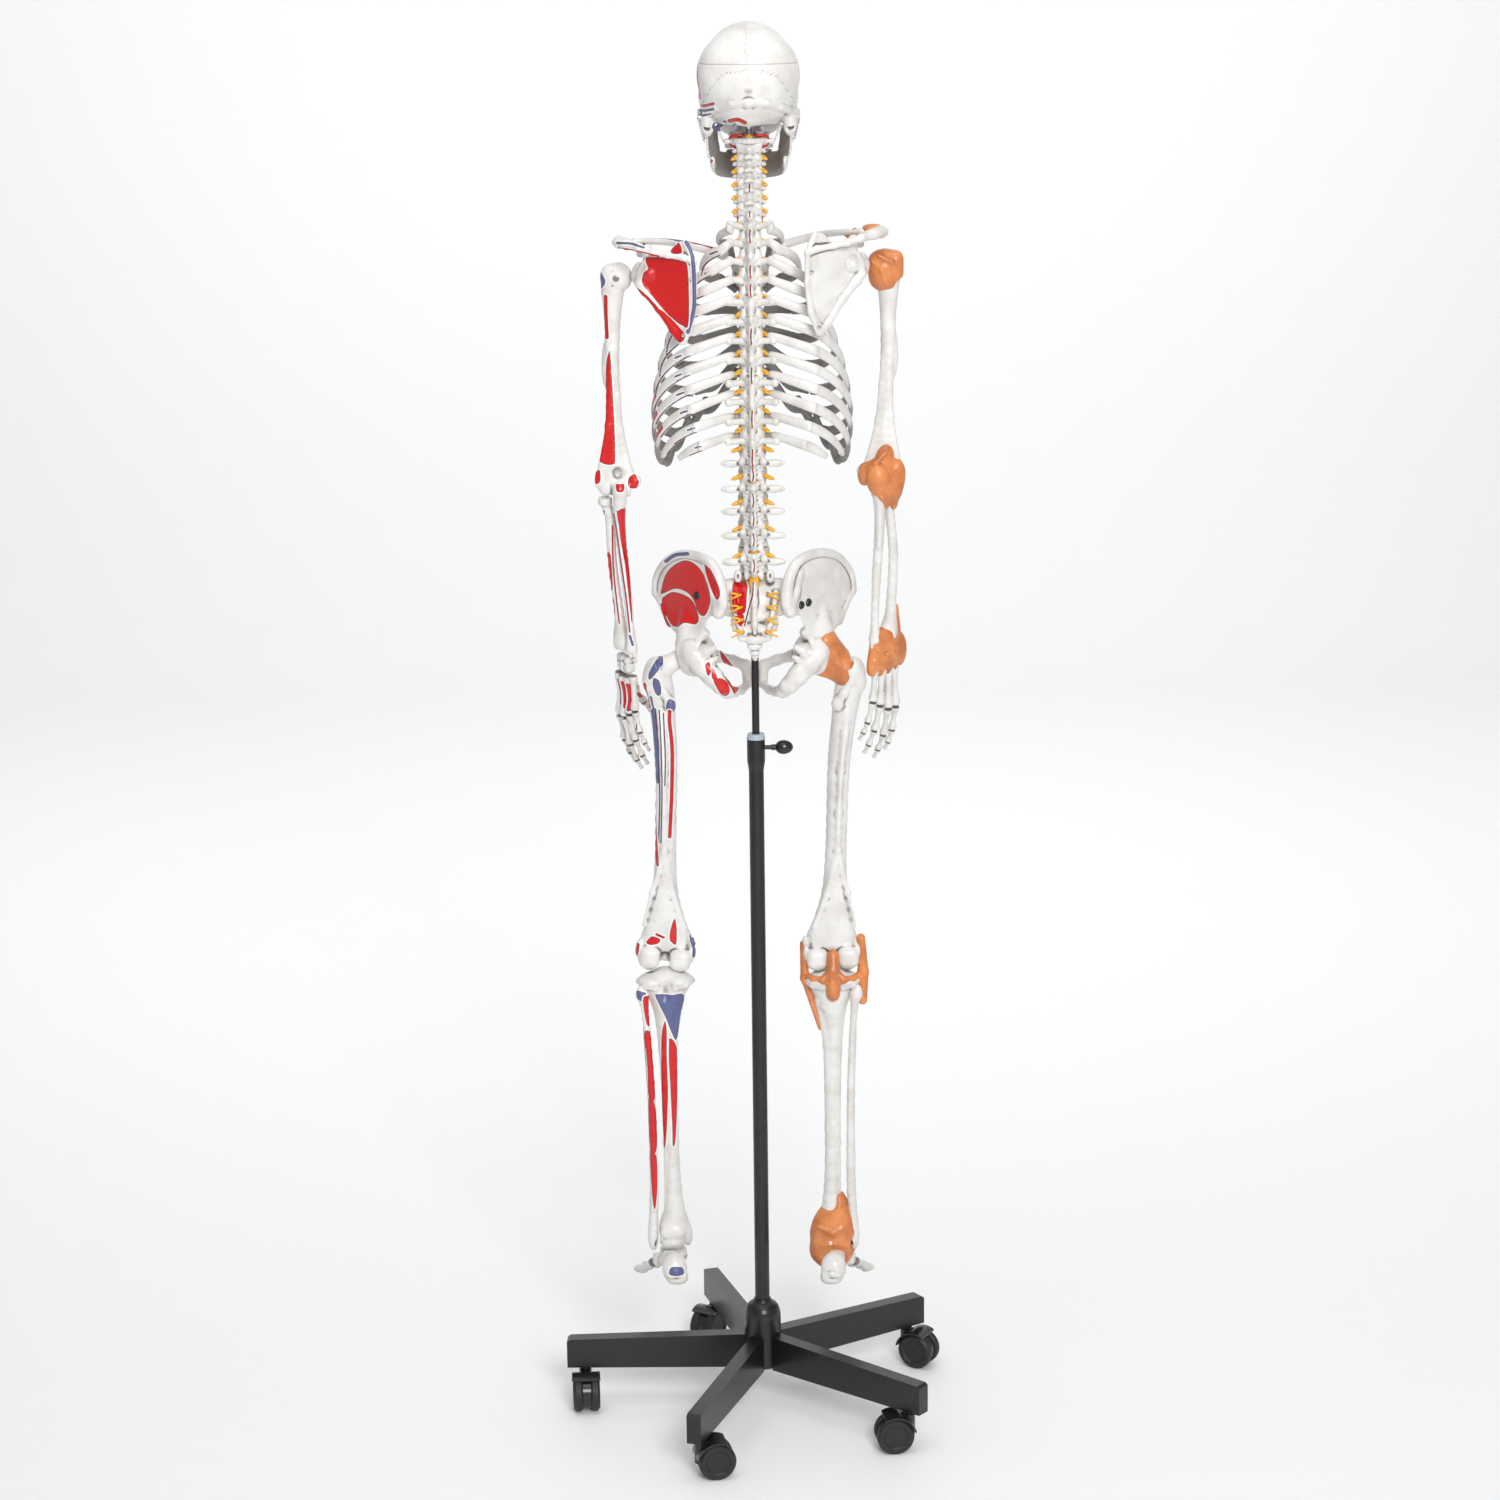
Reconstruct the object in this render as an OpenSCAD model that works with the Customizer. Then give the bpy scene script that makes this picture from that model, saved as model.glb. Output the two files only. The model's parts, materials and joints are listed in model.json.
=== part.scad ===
// Life-size human skeleton on a five-star roller stand. Millimetres, +Z up, facing -Y.
// The origin is on the floor, on the axis of the stand's pole. +X is the skeleton's left.

/* [Stand] */
// Height of the top of the outer tube
tube_top = 946; // [930:1:960]
// Outer radius of the pole's outer tube
tube_r = 10; // [9.5:0.5:11]
// Radius of the inner rod that carries the skeleton
rod_r = 5; // [4:0.5:5.5]
// Distance from the pole's axis to a caster's stem
stem_circle = 246; // [235:1:260]
// Direction of the first arm, seen from above
arm_phase = -2; // [-10:1:10]
// Radius of a caster wheel
wheel_r = 25; // [23:0.5:25]
// Distance from a caster's stem to its axle
caster_trail = 20; // [16:1:22]

/* [Skeleton] */
// Height of the underside of the lowest vertebra
spine_base = 1168; // [1164:1:1172]
// Half the distance between the hip joints
hip_x = 80; // [76:1:84]
// Height of the hip joints
hip_z = 1058; // [1054:1:1060]
// Distance from the hip joint to the knee joint
thigh_len = 418; // [400:1:440]
// Distance from the knee joint to the ankle joint
shank_len = 392; // [370:1:395]
// Distance from the shoulder joint to the elbow joint
upper_arm_len = 272; // [260:1:285]
// Distance from the elbow joint to the wrist joint
forearm_len = 232; // [220:1:240]
// Half the greatest width of the rib cage
chest_half = 131; // [126:1:134]

/* [Rest pose] */
// How far each thigh leans outward, left then right
thigh_lean = [6.3, 2.7]; // [0:0.1:8]
// How far each shank leans outward, left then right
shank_lean = [-0.6, 0]; // [-2:0.1:3]
// How far each upper arm leans outward, left then right
arm_lean = [1.6, -0.6]; // [-2:0.1:4]
// How far each forearm leans outward, left then right
forearm_lean = [-1.6, 0]; // [-3:0.1:3]
// How far each hand is turned from facing forward, left then right
hand_turn = [58, 42]; // [30:1:70]
// How much higher the right shoulder hangs
right_shoulder_lift = 9; // [0:1:12]
// How far the toes point down and out
foot_drop = 14; // [8:1:18]
foot_turn = 8; // [2:1:20]

/* [Hidden] */
bone = "ivory";
run = 0.05; // radial clearance of a running fit
eps = 0.1;

// ---------- shared shapes ----------

function unit(v) = v / norm(v);
function mix(a, b, t) = a + (b - a) * t;
function tangent(p, i) = unit(p[min(i + 1, len(p) - 1)] - p[max(i - 1, 0)]);

// A closed tube along a path. sizes gives each ring's half-width across and along `up`.
module tube(path, sizes, up = [0, 0, 1], sides = 8) {
    n = len(path);
    rings = [for (i = [0:n - 1])
        let (t = tangent(path, i), across = unit(cross(t, up)), lift = cross(across, t))
        for (k = [0:sides - 1])
            let (a = 360 * (k + 0.5) / sides)
            path[i] + sizes[i][0] * cos(a) * across + sizes[i][1] * sin(a) * lift];
    walls = [for (i = [0:n - 2], k = [0:sides - 1])
        let (a = i * sides + k, b = i * sides + (k + 1) % sides)
        for (f = [[a, a + sides, b + sides], [a, b + sides, b]]) f];
    caps = [[for (k = [0:sides - 1]) sides - 1 - k], [for (k = [0:sides - 1]) (n - 1) * sides + k]];
    polyhedron(rings, concat(walls, caps), convexity = 4);
}

// A closed tube whose ring sizes are all one pair
module even_tube(path, size, up = [0, 0, 1], sides = 8) {
    tube(path, [for (p = path) size], up, sides);
}

// The convex skin of a list of balls, each [x, y, z, radius]
module skin(balls, fn = 8) {
    hull() for (b = balls) translate([b[0], b[1], b[2]]) sphere(b[3], $fn = fn);
}

// Balls joined one after another
module chain(balls, fn = 8) {
    for (i = [0:len(balls) - 2]) skin([balls[i], balls[i + 1]], fn);
}

// A cylinder along X, centred
module bar_x(r, l, fn = 48) {
    rotate([0, 90, 0]) cylinder(h = l, r = r, center = true, $fn = fn);
}

// A small long bone: a shaft between two knuckles
module phalanx(a, b, r) {
    path = [a, mix(a, b, 0.16), mix(a, b, 0.5), mix(a, b, 0.84), b];
    tube(path, [for (k = [0.75, 1, 0.6, 0.95, 0.7]) [r * k, r * k]], [0, 1, 0.02], 5);
}

// ---------- the stand ----------

arm_h = 44;
arm_w = 20;
arm_bottom = 57;
arm_end = stem_circle + 24;
wall = 2;
stem_r = 5.5;
hub_r = 25;
wheel_w = 12;
caster_gap = 12;
axle_z = wheel_r;
// Which way each caster trails
caster_turn = [95, 192, 8, 150, 60];

function arm_angle(i) = arm_phase + 72 * i;
function stem_at(i) = stem_circle * [cos(arm_angle(i)), sin(arm_angle(i)), 0];

// One arm: a steel channel, open underneath, with a socket for the caster's stem
module base_arm() {
    tip_h = arm_h - 3;
    difference() {
        translate([0, arm_w / 2, 0]) rotate([90, 0, 0]) linear_extrude(arm_w)
            polygon([[hub_r - 1, arm_bottom + 2], [arm_end, arm_bottom], [arm_end, arm_bottom + tip_h - 3],
                [arm_end - 4, arm_bottom + tip_h], [hub_r - 1, arm_bottom + arm_h + 6]]);
        translate([0, arm_w / 2 - wall, 0]) rotate([90, 0, 0]) linear_extrude(arm_w - 2 * wall)
            polygon([[hub_r + 6, arm_bottom - 1], [arm_end - wall, arm_bottom - 1],
                [arm_end - wall, arm_bottom + tip_h - 4], [hub_r + 6, arm_bottom + arm_h + 3]]);
        cylinder(r = hub_r, h = 400, center = true, $fn = 96);
    }
    translate([stem_circle, 0, arm_bottom - 3]) difference() {
        cylinder(r = arm_w / 2 - wall, h = 34, $fn = 64);
        translate([0, 0, -eps]) cylinder(r = stem_r + run, h = 34 + 2 * eps, $fn = 64);
    }
}

module base_arms() {
    color("#17171a") for (i = [0:4]) rotate(arm_angle(i)) base_arm();
}

// The moulded centre boss that the arms are welded to and the tube stands in
module base_hub() {
    color("#17171a") difference() {
        rotate_extrude($fn = 96) polygon(concat([[0, 60], [hub_r - 2, 60], [hub_r, 62], [hub_r, 132]],
            [for (a = [15:15:75]) [tube_r + 3 + (hub_r - tube_r - 3) * cos(a), 132 + 20 * sin(a)]],
            [[tube_r + 3, 153], [tube_r + 1.5, 157], [0, 157]]));
        translate([0, 0, 72]) cylinder(r = tube_r, h = 100, $fn = 96);
    }
}

// The outer tube, with its swaged clamping end
module stand_tube() {
    color("#17171a") difference() {
        union() {
            translate([0, 0, 72]) cylinder(r = tube_r, h = tube_top - 72, $fn = 96);
            translate([0, 0, tube_top - 44]) cylinder(r1 = tube_r, r2 = 12, h = 14, $fn = 96);
            translate([0, 0, tube_top - 30]) cylinder(r = 12, h = 30, $fn = 96);
        }
        translate([0, 0, 71]) cylinder(r = tube_r - wall, h = tube_top, $fn = 96);
        translate([-14, 0, tube_top - 12]) bar_x(3 + run, 20);
    }
}

// The grey guide bush that closes the tube and steadies the rod
module tube_collar() {
    color("#9fb0bd") difference() {
        union() {
            translate([0, 0, tube_top]) cylinder(r1 = 12.5, r2 = 11, h = 7, $fn = 96);
            translate([0, 0, tube_top - 26]) cylinder(r = tube_r - wall, h = 26, $fn = 96);
        }
        translate([0, 0, tube_top - 27]) cylinder(r = rod_r + run, h = 60, $fn = 96);
        translate([-14, 0, tube_top - 12]) bar_x(3 + run, 20);
    }
}

// The clamping screw and its egg-shaped knob
module clamp_knob() {
    color("#17171a") translate([-rod_r - 0.1, 0, tube_top - 12]) rotate([0, -90, 0])
        rotate_extrude($fn = 72) polygon([[0, 0], [2, 0], [3, 1], [3, 15], [4, 15.5], [4, 18],
            for (a = [-65:13:78]) [9.5 * cos(a), 31 + 11 * sin(a) + (a > 0 ? 2 * sin(a) : 0)], [0, 44]]);
}

// The inner rod, from inside the tube up into the lowest vertebra
module stand_rod() {
    color("#1d1d20") translate([0, 0, 560]) {
        cylinder(r = rod_r, h = spine_base + 30 - 560, $fn = 64);
    }
}

// A caster's swivelling frame: stem, boss, centre web and mudguard
module caster_hood(i) {
    guard_in = wheel_r + 1.2;
    guard_out = wheel_r + 3.4;
    guard_w = 2 * wheel_w + caster_gap + 2;
    color("#131315") translate(stem_at(i)) rotate(caster_turn[i]) {
        translate([0, 0, 40]) cylinder(r = stem_r, h = 46, $fn = 64);
        difference() {
            union() {
                translate([caster_trail, 0, axle_z]) rotate([90, 0, 0])
                    cylinder(r = wheel_r - 3, h = caster_gap - 1, center = true, $fn = 72);
                translate([0, 0, 22]) cylinder(r = 8.5, h = 30, $fn = 64);
                intersection() {
                    translate([caster_trail, 0, axle_z]) rotate([90, 0, 0]) difference() {
                        cylinder(r = guard_out, h = guard_w, center = true, $fn = 96);
                        cylinder(r = guard_in, h = guard_w + 2, center = true, $fn = 96);
                    }
                    translate([-40, -40, axle_z + 6]) cube([40 + caster_trail + 14, 80, 60]);
                }
                translate([caster_trail / 2 - 2, 0, axle_z + 12])
                    cube([caster_trail, caster_gap - 1, 30], center = true);
            }
            for (s = [-1, 1]) translate([caster_trail, s * (caster_gap / 2 + wheel_w / 2 + 0.5), axle_z])
                rotate([90, 0, 0]) cylinder(r = guard_in, h = wheel_w + 1.4, center = true, $fn = 96);
            translate([caster_trail, 0, axle_z]) rotate([90, 0, 0])
                cylinder(r = 3 + run, h = 60, center = true, $fn = 48);
        }
    }
}

// A caster's twin wheels on their axle
module caster_wheels(i) {
    color("#1b1b1d") translate(stem_at(i)) rotate(caster_turn[i]) translate([caster_trail, 0, axle_z])
        rotate([90, 0, 0]) {
            cylinder(r = 3, h = caster_gap + 4, center = true, $fn = 48);
            for (s = [-1, 1]) mirror([0, 0, s > 0 ? 0 : 1]) translate([0, 0, caster_gap / 2])
                rotate_extrude($fn = 96) polygon([[0, 0], [wheel_r - 2, 0], [wheel_r, 2], [wheel_r, wheel_w - 3],
                    [wheel_r - 3, wheel_w], [17, wheel_w], [15, wheel_w - 1.6], [0, wheel_w - 1.2]]);
        }
}

// ---------- the spine ----------

lumbar = 5;
thoracic = 12;
top_vertebra = 22;
// Where the column runs, front to back, at each height
column = [[1060, 34], [1120, 30], [1168, 2], [1250, -13], [1335, -2], [1440, 22], [1530, 26], [1615, 8],
    [1680, -3], [1740, 0]];
function column_y(z) = lookup(z, column);
function body_h(i) = i < lumbar ? 25 : i < lumbar + thoracic ? 22.6 - 0.38 * (i - lumbar) : 13;
function disc_h(i) = i < lumbar ? 9 : i < lumbar + thoracic ? 3.6 : 3.5;
function floor_of(i) = i == 0 ? spine_base : floor_of(i - 1) + body_h(i - 1) + disc_h(i - 1);
function body_r(i) = i < lumbar ? 21 - 0.5 * i : i < lumbar + thoracic ? 18 - 0.6 * (i - lumbar) : 10;
function body_depth(i) = i < lumbar + thoracic ? 0.8 : 0.85;
function mid_of(i) = let (z = floor_of(i) + body_h(i) / 2) [0, column_y(z), z];
function column_tilt(i) = let (z = floor_of(i) + body_h(i) / 2) atan((column_y(z + 14) - column_y(z - 14)) / 28);
// Vertebra index of the nth rib's vertebra
function rib_level(n) = lumbar + thoracic - n;
atlas_z = floor_of(top_vertebra) + 17;

// Vertebra i in its own frame: the body, the arch round the canal and the processes
module vertebra(i) {
    neck = i >= lumbar + thoracic;
    low = i < lumbar;
    r = body_r(i);
    h = body_h(i);
    d = body_depth(i);
    back = r * d;
    canal = neck ? 17 : 15;
    spine_l = low ? 26 : neck ? (i == top_vertebra - 5 ? 30 : 16) : 30;
    drop = low ? 4 : neck ? 6 : 16;
    wing = low ? 40 : neck ? 24 : 31 - 0.5 * (i - lumbar);
    scale([1, d, 1]) cylinder(r = r, h = h, center = true, $fn = 12);
    for (s = [-1, 1]) {
        // pedicle and lamina
        translate([s * (canal / 2 + 2), back + (canal - 7) / 2, 1]) cube([5, canal + 9, h * 0.45], center = true);
        translate([s * (canal / 4 + 1), back + canal - 2, 0]) rotate([0, 0, s * 28])
            cube([canal / 2 + 8, 4.5, h * 0.62], center = true);
        // transverse process
        translate([s * (wing + canal / 2) / 2, back + (neck ? 3 : 10), 1]) rotate([0, 0, neck || low ? 0 : s * 25])
            cube([wing - canal / 2 + 2, 6, low ? 8 : 7], center = true);
    }
    // spinous process
    translate([0, back + canal + spine_l / 2 - 3, -drop / 2]) rotate([-atan(drop / spine_l), 0, 0])
        cube([4.5, spine_l, low ? 17 : neck ? 6 : 9], center = true);
}

module atlas() {
    difference() {
        union() {
            scale([1, 0.8, 1]) cylinder(r = 21, h = 8, center = true, $fn = 12);
            for (s = [-1, 1]) translate([s * 24, 2, 0]) cube([16, 9, 8], center = true);
        }
        scale([1, 0.85, 1]) cylinder(r = 13.5, h = 20, center = true, $fn = 12);
    }
}

module vertebrae() {
    color(bone) difference() {
        union() {
            for (i = [0:top_vertebra]) translate(mid_of(i)) rotate([-column_tilt(i), 0, 0]) vertebra(i);
            translate([0, column_y(atlas_z) + 6, atlas_z]) atlas();
        }
        socket_space();
    }
}

// The space that the core's socket fills in the lowest vertebrae
module socket_space() {
    translate([0, 0, spine_base - 20]) cylinder(r = socket_r, h = socket_h + 12, $fn = 48);
}

module vertebral_discs() {
    color("#c9b48c") difference() {
        for (i = [0:top_vertebra]) let (z = floor_of(i) - disc_h(i) / 2)
            translate([0, column_y(z), z]) scale([1, body_depth(i), 1])
                cylinder(r = body_r(i) * 0.96, h = disc_h(i) + 0.6, center = true, $fn = 12);
        socket_space();
    }
}

socket_r = 8;
socket_h = 66;
core_path = [for (z = [spine_base + 50:30:1700]) [0, column_y(z), z]];
pin_z = atlas_z + 34;

// The steel core: a socket for the stand's rod, a curved bar and the pin that the skull turns on
module spine_core() {
    color("silver") {
        translate([0, 0, spine_base - 8]) difference() {
            cylinder(r = socket_r, h = socket_h, $fn = 48);
            translate([0, 0, -eps]) cylinder(r = rod_r + run, h = 38 + eps, $fn = 48);
        }
        even_tube(core_path, [4, 4], [0, 1, 0]);
        translate([0, 0, 1690]) cylinder(r = 4, h = pin_z - 1690, $fn = 48);
    }
}

// Sacrum and the small coccyx below it
module sacrum() {
    rows = [[49, 13, 1146, 13, 22], [40, 34, 1124, 11, 20], [28, 48, 1102, 8, 15], [14, 52, 1082, 6, 10]];
    color(bone) difference() {
        union() {
            for (i = [0:2]) hull() for (k = [i, i + 1]) let (q = rows[k]) for (s = [-1, 1])
                translate([s * (q[0] - q[3]), q[1], q[2]]) scale([1, 0.8, 1]) sphere(q[3], $fn = 8);
            skin([[0, 4, 1149, 12], [18, 6, 1149, 11], [-18, 6, 1149, 11], [0, 24, 1132, 12]]);
            for (k = [0:3]) skin([[0, mix(40, 62, k / 3), mix(1150, 1095, k / 3), 5], [0, mix(28, 54, k / 3),
                mix(1146, 1094, k / 3), 5]], 6);
            chain([[0, 51, 1080, 7], [0, 48, 1072, 5.5], [0, 41, 1066, 4]], 6);
        }
        translate([0, 0, 1080]) cylinder(r = rod_r + 0.7, h = 80, $fn = 24);
        translate([0, 0, spine_base - 8.6]) cylinder(r = 60, h = 30, $fn = 8);
    }
}

// The pair of nerve stubs at each disc, and the sacral branches
module spinal_nerves() {
    color("gold") {
        for (i = [1:top_vertebra], s = [-1, 1]) {
            p = [0, column_y(floor_of(i)) + body_r(i) * body_depth(i) + 3, floor_of(i) - disc_h(i) / 2];
            l = i <= lumbar ? 20 : 15;
            even_tube([p + [s * 8, 1, 0], p + [s * (8 + l / 2), 2, -1], p + [s * (8 + l), 6, -4]], [2.4, 1.8], [0, 1, 0], 4);
        }
        for (k = [0:2], s = [-1, 1]) {
            p = [s * (17 - 2 * k), 48 + 7 * k, 1140 - 15 * k];
            even_tube([p, p + [s * 7, 4, 2], p + [s * (k == 0 ? 12 : 17), 3, -2]], [1.9, 1.7], [0, 1, 0], 4);
        }
    }
}

// ---------- the rib cage ----------

function rib_wide(n) = chest_half - 3 - 1.55 * pow(8.5 - n, 2);
function rib_deep(n) = 98 - pow(8.3 - n, 2);
function rib_mid(n) = -17 + 0.33 * pow(8 - n, 2);
function rib_drop(n) = 117 - 1.75 * pow(8.2 - n, 2);
function rib_sweep(n) = n < 8 ? 140 : n == 8 ? 127 : n == 9 ? 118 : n == 10 ? 107 : n == 11 ? 80 : 60;
// A point on the nth left rib, t from 0 behind its angle to 1 at its front end
first_turn = 36;
function rib_at(n, t) = let (a = first_turn + (rib_sweep(n) - first_turn) * t, full = a / 140)
    [rib_wide(n) * sin(a), rib_mid(n) + rib_deep(n) * cos(a), mid_of(rib_level(n))[2] + 5
        - rib_drop(n) * pow(sin(90 * full), 2)];
// The head on the vertebra, the neck, and the tubercle on the transverse process
function rib_root(n) = let (m = mid_of(rib_level(n)), r = body_r(rib_level(n)), z = m[2] + (n > 10 ? 2 : 6))
    [[r - 1, m[1] + 9, z], [r + 6, m[1] + 17, z + 1], [32 - 0.4 * (12 - n), m[1] + 30, z + 1]];
rib_steps = 7;
function rib_path(n) = concat(rib_root(n), [for (k = [0:rib_steps]) rib_at(n, k / rib_steps)]);

module rib(n) {
    path = rib_path(n);
    last = len(path) - 1;
    tube(path, [for (k = [0:last]) [2.8, n == 1 ? 5 : k < 2 ? 4 : k == last ? 5.5 : 6]], [0, 0, 1], 6);
}

module ribs() {
    color(bone) for (n = [1:12]) {
        rib(n);
        mirror([1, 0, 0]) rib(n);
    }
}

// Where the nth cartilage meets the breastbone
function sternum_at(n) = let (t = [0, 0.05, 0.27, 0.45, 0.61, 0.75, 0.87, 0.96][n])
    [n == 1 ? 22 : 17, mix(-54, -112, t), mix(1572, 1416, t)];

module sternum() {
    color(bone) {
        skin([[20, -54, 1568, 5.5], [-20, -54, 1568, 5.5], [13, -64, 1530, 5], [-13, -64, 1530, 5]]);
        skin([[11, -67, 1526, 5], [-11, -67, 1526, 5], [16, -98, 1450, 5], [-16, -98, 1450, 5],
            [9, -111, 1420, 5], [-9, -111, 1420, 5]]);
        skin([[4, -113, 1414, 4], [-4, -113, 1414, 4], [0, -116, 1392, 3]]);
    }
}

module cartilage(n) {
    a = rib_at(n, 1);
    b = n < 8 ? sternum_at(n) : mix(rib_at(n - 1, 1), sternum_at(7), 0.12 * (11 - n));
    low = n < 5 ? 0 : n == 5 ? 6 : n == 6 ? 14 : n == 7 ? 20 : 16;
    mid = mix(a, b, 0.45) + [0, -6, -low];
    tube([a, mix(a, mid, 0.5), mid, mix(mid, b, 0.5), b], [for (k = [0:4]) [3.6, 6]], [0, 0, 1], 6);
}

module costal_cartilages() {
    color("#9a958a") for (s = [0, 1]) mirror([s, 0, 0]) for (n = [1:10]) cartilage(n);
}

// ---------- shoulder girdle ----------

shoulder = [171, 14, 1557];

module scapula() {
    color(bone) difference() {
        union() {
            skin([[73, 90, 1600, 3], [70, 92, 1575, 3], [84, 84, 1487, 4], [128, 52, 1560, 4]]);
            skin([[73, 90, 1600, 3], [128, 52, 1560, 4], [126, 50, 1585, 3]]);
            skin([[84, 84, 1490, 5], [130, 48, 1552, 5]]);
            skin([[71, 92, 1500, 2.5], [71, 92, 1575, 2.5], [84, 84, 1487, 3]]);
            chain([[74, 93, 1578, 3], [105, 84, 1587, 3.5], [140, 66, 1600, 4.5], [160, 44, 1605, 5], [166, 22, 1603, 4.5]]);
            skin([[128, 50, 1562, 6], [143, 30, 1560, 8]]);
            skin([[143, 30, 1575, 6], [143, 30, 1550, 7]]);
            chain([[130, 45, 1573, 6], [132, 12, 1593, 5], [140, -8, 1584, 4.5]], 6);
        }
        translate(shoulder) sphere(25, $fn = 24);
        translate(shoulder) bar_x(4.5, 90, 16);
    }
}

module clavicle() {
    tube([[23, -62, 1572], [45, -68, 1579], [75, -62, 1588], [105, -32, 1597], [130, 0, 1601], [150, 20, 1604]],
        [[6, 7], [5, 5.5], [4.5, 5], [5, 4.5], [7, 4], [8, 3.5]], [0, 0, 1], 8);
}

module clavicles() {
    color(bone) {
        clavicle();
        translate([0, 0, right_shoulder_lift]) mirror([1, 0, 0]) clavicle();
    }
}

// ---------- pelvis ----------

hip = [hip_x, -15, hip_z];

module hip_bone() {
    top = [88, -12, 1088, 10];
    crest = [[40, 50, 1168, 5], [58, 44, 1183, 5], [84, 12, 1190, 5], [110, -30, 1180, 5], [124, -58, 1150, 5]];
    color(bone) difference() {
        union() {
            skin([[38, 50, 1128, 6], crest[0], crest[1], top]);
            for (k = [1:3]) skin([crest[k], crest[k + 1], top]);
            skin([crest[4], [108, -50, 1106, 6], top]);
            skin([[38, 50, 1128, 7], [46, 40, 1112, 7], top]);
            translate(hip) sphere(31, $fn = 16);
            chain([[74, 8, 1046, 14], [62, 22, 1022, 12], [50, 10, 1012, 10], [24, -56, 1002, 6], [10, -84, 1000, 7]]);
            chain([[72, -34, 1050, 11], [28, -80, 1032, 7], [11, -88, 1018, 8], [10, -84, 1000, 7]]);
        }
        translate(hip) sphere(24.5, $fn = 24);
        translate(hip + [34, -6, -14]) rotate([0, 12, 0]) cube([40, 90, 90], center = true);
        translate(hip + [34, 0, 0]) bar_x(28, 52, 32);
        translate(hip) bar_x(3.4, 110, 12);
    }
}

// Pelvis bolts and shoulder-blade screws: separate solids
module torso_fasteners() {
    color("silver") for (s = [-1, 1]) {
        for (p = [[56, 49, 1146], [66, 41, 1146]]) translate([s * p[0], p[1], p[2]]) rotate([-58, 0, s * 30]) {
            cylinder(r = 5, h = 4, $fn = 12);
            translate([0, 0, -24]) cylinder(r = 2.5, h = 24, $fn = 12);
        }
        lift = s < 0 ? right_shoulder_lift : 0;
        for (p = [[77, 93, 1560], [86, 87, 1490]]) translate([s * p[0], p[1], p[2] + lift]) rotate([-90, 0, 0]) {
            cylinder(r = 3, h = 2, $fn = 12);
            translate([0, 0, -12]) cylinder(r = 1.4, h = 12, $fn = 12);
        }
    }
}

// ---------- head ----------

cut_z = 1824;
brain = [[0, -50, 1818, 42], [17, 28, 1814, 47], [-17, 28, 1814, 47], [0, -6, 1828, 44], [0, 42, 1792, 40],
    [0, 42, 1772, 30], [20, -24, 1784, 36], [-20, -24, 1784, 36]];
skull_wall = 6;
jaw_axis = [0, -9, 1752];

module braincase(inset) {
    hull() for (b = brain) translate([b[0], b[1], b[2]]) sphere(b[3] - inset, $fn = 16);
}

// The skull below the calvarium's cut, hollow, with eye sockets and the foramen magnum
module skull() {
    color(bone) difference() {
        union() {
            braincase(0);
            skin([[30, -80, 1793, 13], [-30, -80, 1793, 13], [24, -78, 1748, 14], [-24, -78, 1748, 14]]);
            skin([[22, -78, 1732, 9], [-22, -78, 1732, 9], [18, -82, 1722, 6], [-18, -82, 1722, 6],
                [22, -54, 1732, 7], [-22, -54, 1732, 7]]);
            for (s = [-1, 1]) {
                chain([[s * 34, -80, 1762, 9], [s * 54, -58, 1764, 6], [s * 61, -24, 1764, 3.5],
                    [s * 60, 2, 1766, 5]], 6);
                skin([[s * 52, 14, 1762, 11], [s * 50, 16, 1740, 6]]);
                skin([[s * 13, 2, 1748, 8], [s * 13, -4, 1741, 6]]);
            }
        }
        braincase(skull_wall);
        translate([-100, -120, cut_z]) cube([200, 240, 80]);
        for (s = [-1, 1]) translate([s * 29, -92, 1780]) scale([1, 1.2, 0.95]) sphere(16, $fn = 12);
        skin([[0, -96, 1768, 5], [8, -96, 1750, 6], [-8, -96, 1750, 6]], 6);
        translate([0, 8, 1700]) scale([1, 1.15, 1]) cylinder(r = 13, h = 60, $fn = 12);
    }
}

// The removable skull cap
module calvarium() {
    color(bone) difference() {
        braincase(0);
        braincase(skull_wall);
        translate([-100, -120, cut_z + 0.3 - 120]) cube([200, 240, 120]);
    }
}

module mandible() {
    color(bone) for (s = [-1, 1]) {
        chain([[s * 50, -10, 1750, 5], [s * 48, -16, 1735, 5], [s * 44, -20, 1704, 6.5], [s * 30, -58, 1694, 7],
            [s * 10, -82, 1688, 8]]);
        skin([[s * 46, -34, 1745, 3], [s * 46, -30, 1728, 4], [s * 46, -18, 1720, 4]]);
        skin([[s * 8, -84, 1680, 7], [0, -86, 1690, 9], [0, -86, 1680, 8]]);
        skin([[s * 26, -62, 1706, 3.5], [s * 8, -86, 1710, 3.5], [s * 8, -86, 1700, 5], [s * 26, -62, 1696, 5]]);
    }
}

// The two coil springs that hold the jaw up, drawn as plain sleeves
module jaw_springs() {
    color("silver") for (s = [-1, 1])
        even_tube([[s * 65, -18, 1758], [s * 63, -19, 1740], [s * 56, -21, 1722]], [2, 2], [0, 1, 0], 8);
}

// ---------- places on the limbs ----------

elbow_bend = 9;
knee_bend = 2;
ulna_end = [-10, 4];
wrist_reach = 17;
radius_reach = 27;

module at_shoulder(side) {
    mirror([side, 0, 0]) translate(shoulder + [0, 0, side * right_shoulder_lift])
        rotate([0, -arm_lean[side], 0]) children();
}

module at_elbow(side) {
    at_shoulder(side) translate([0, 0, -upper_arm_len]) rotate([-elbow_bend, 0, 0]) children();
}

function across(side) = [cos(hand_turn[side]), -sin(hand_turn[side]), 0];
function carry(side) = arm_lean[side] - forearm_lean[side];

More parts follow.
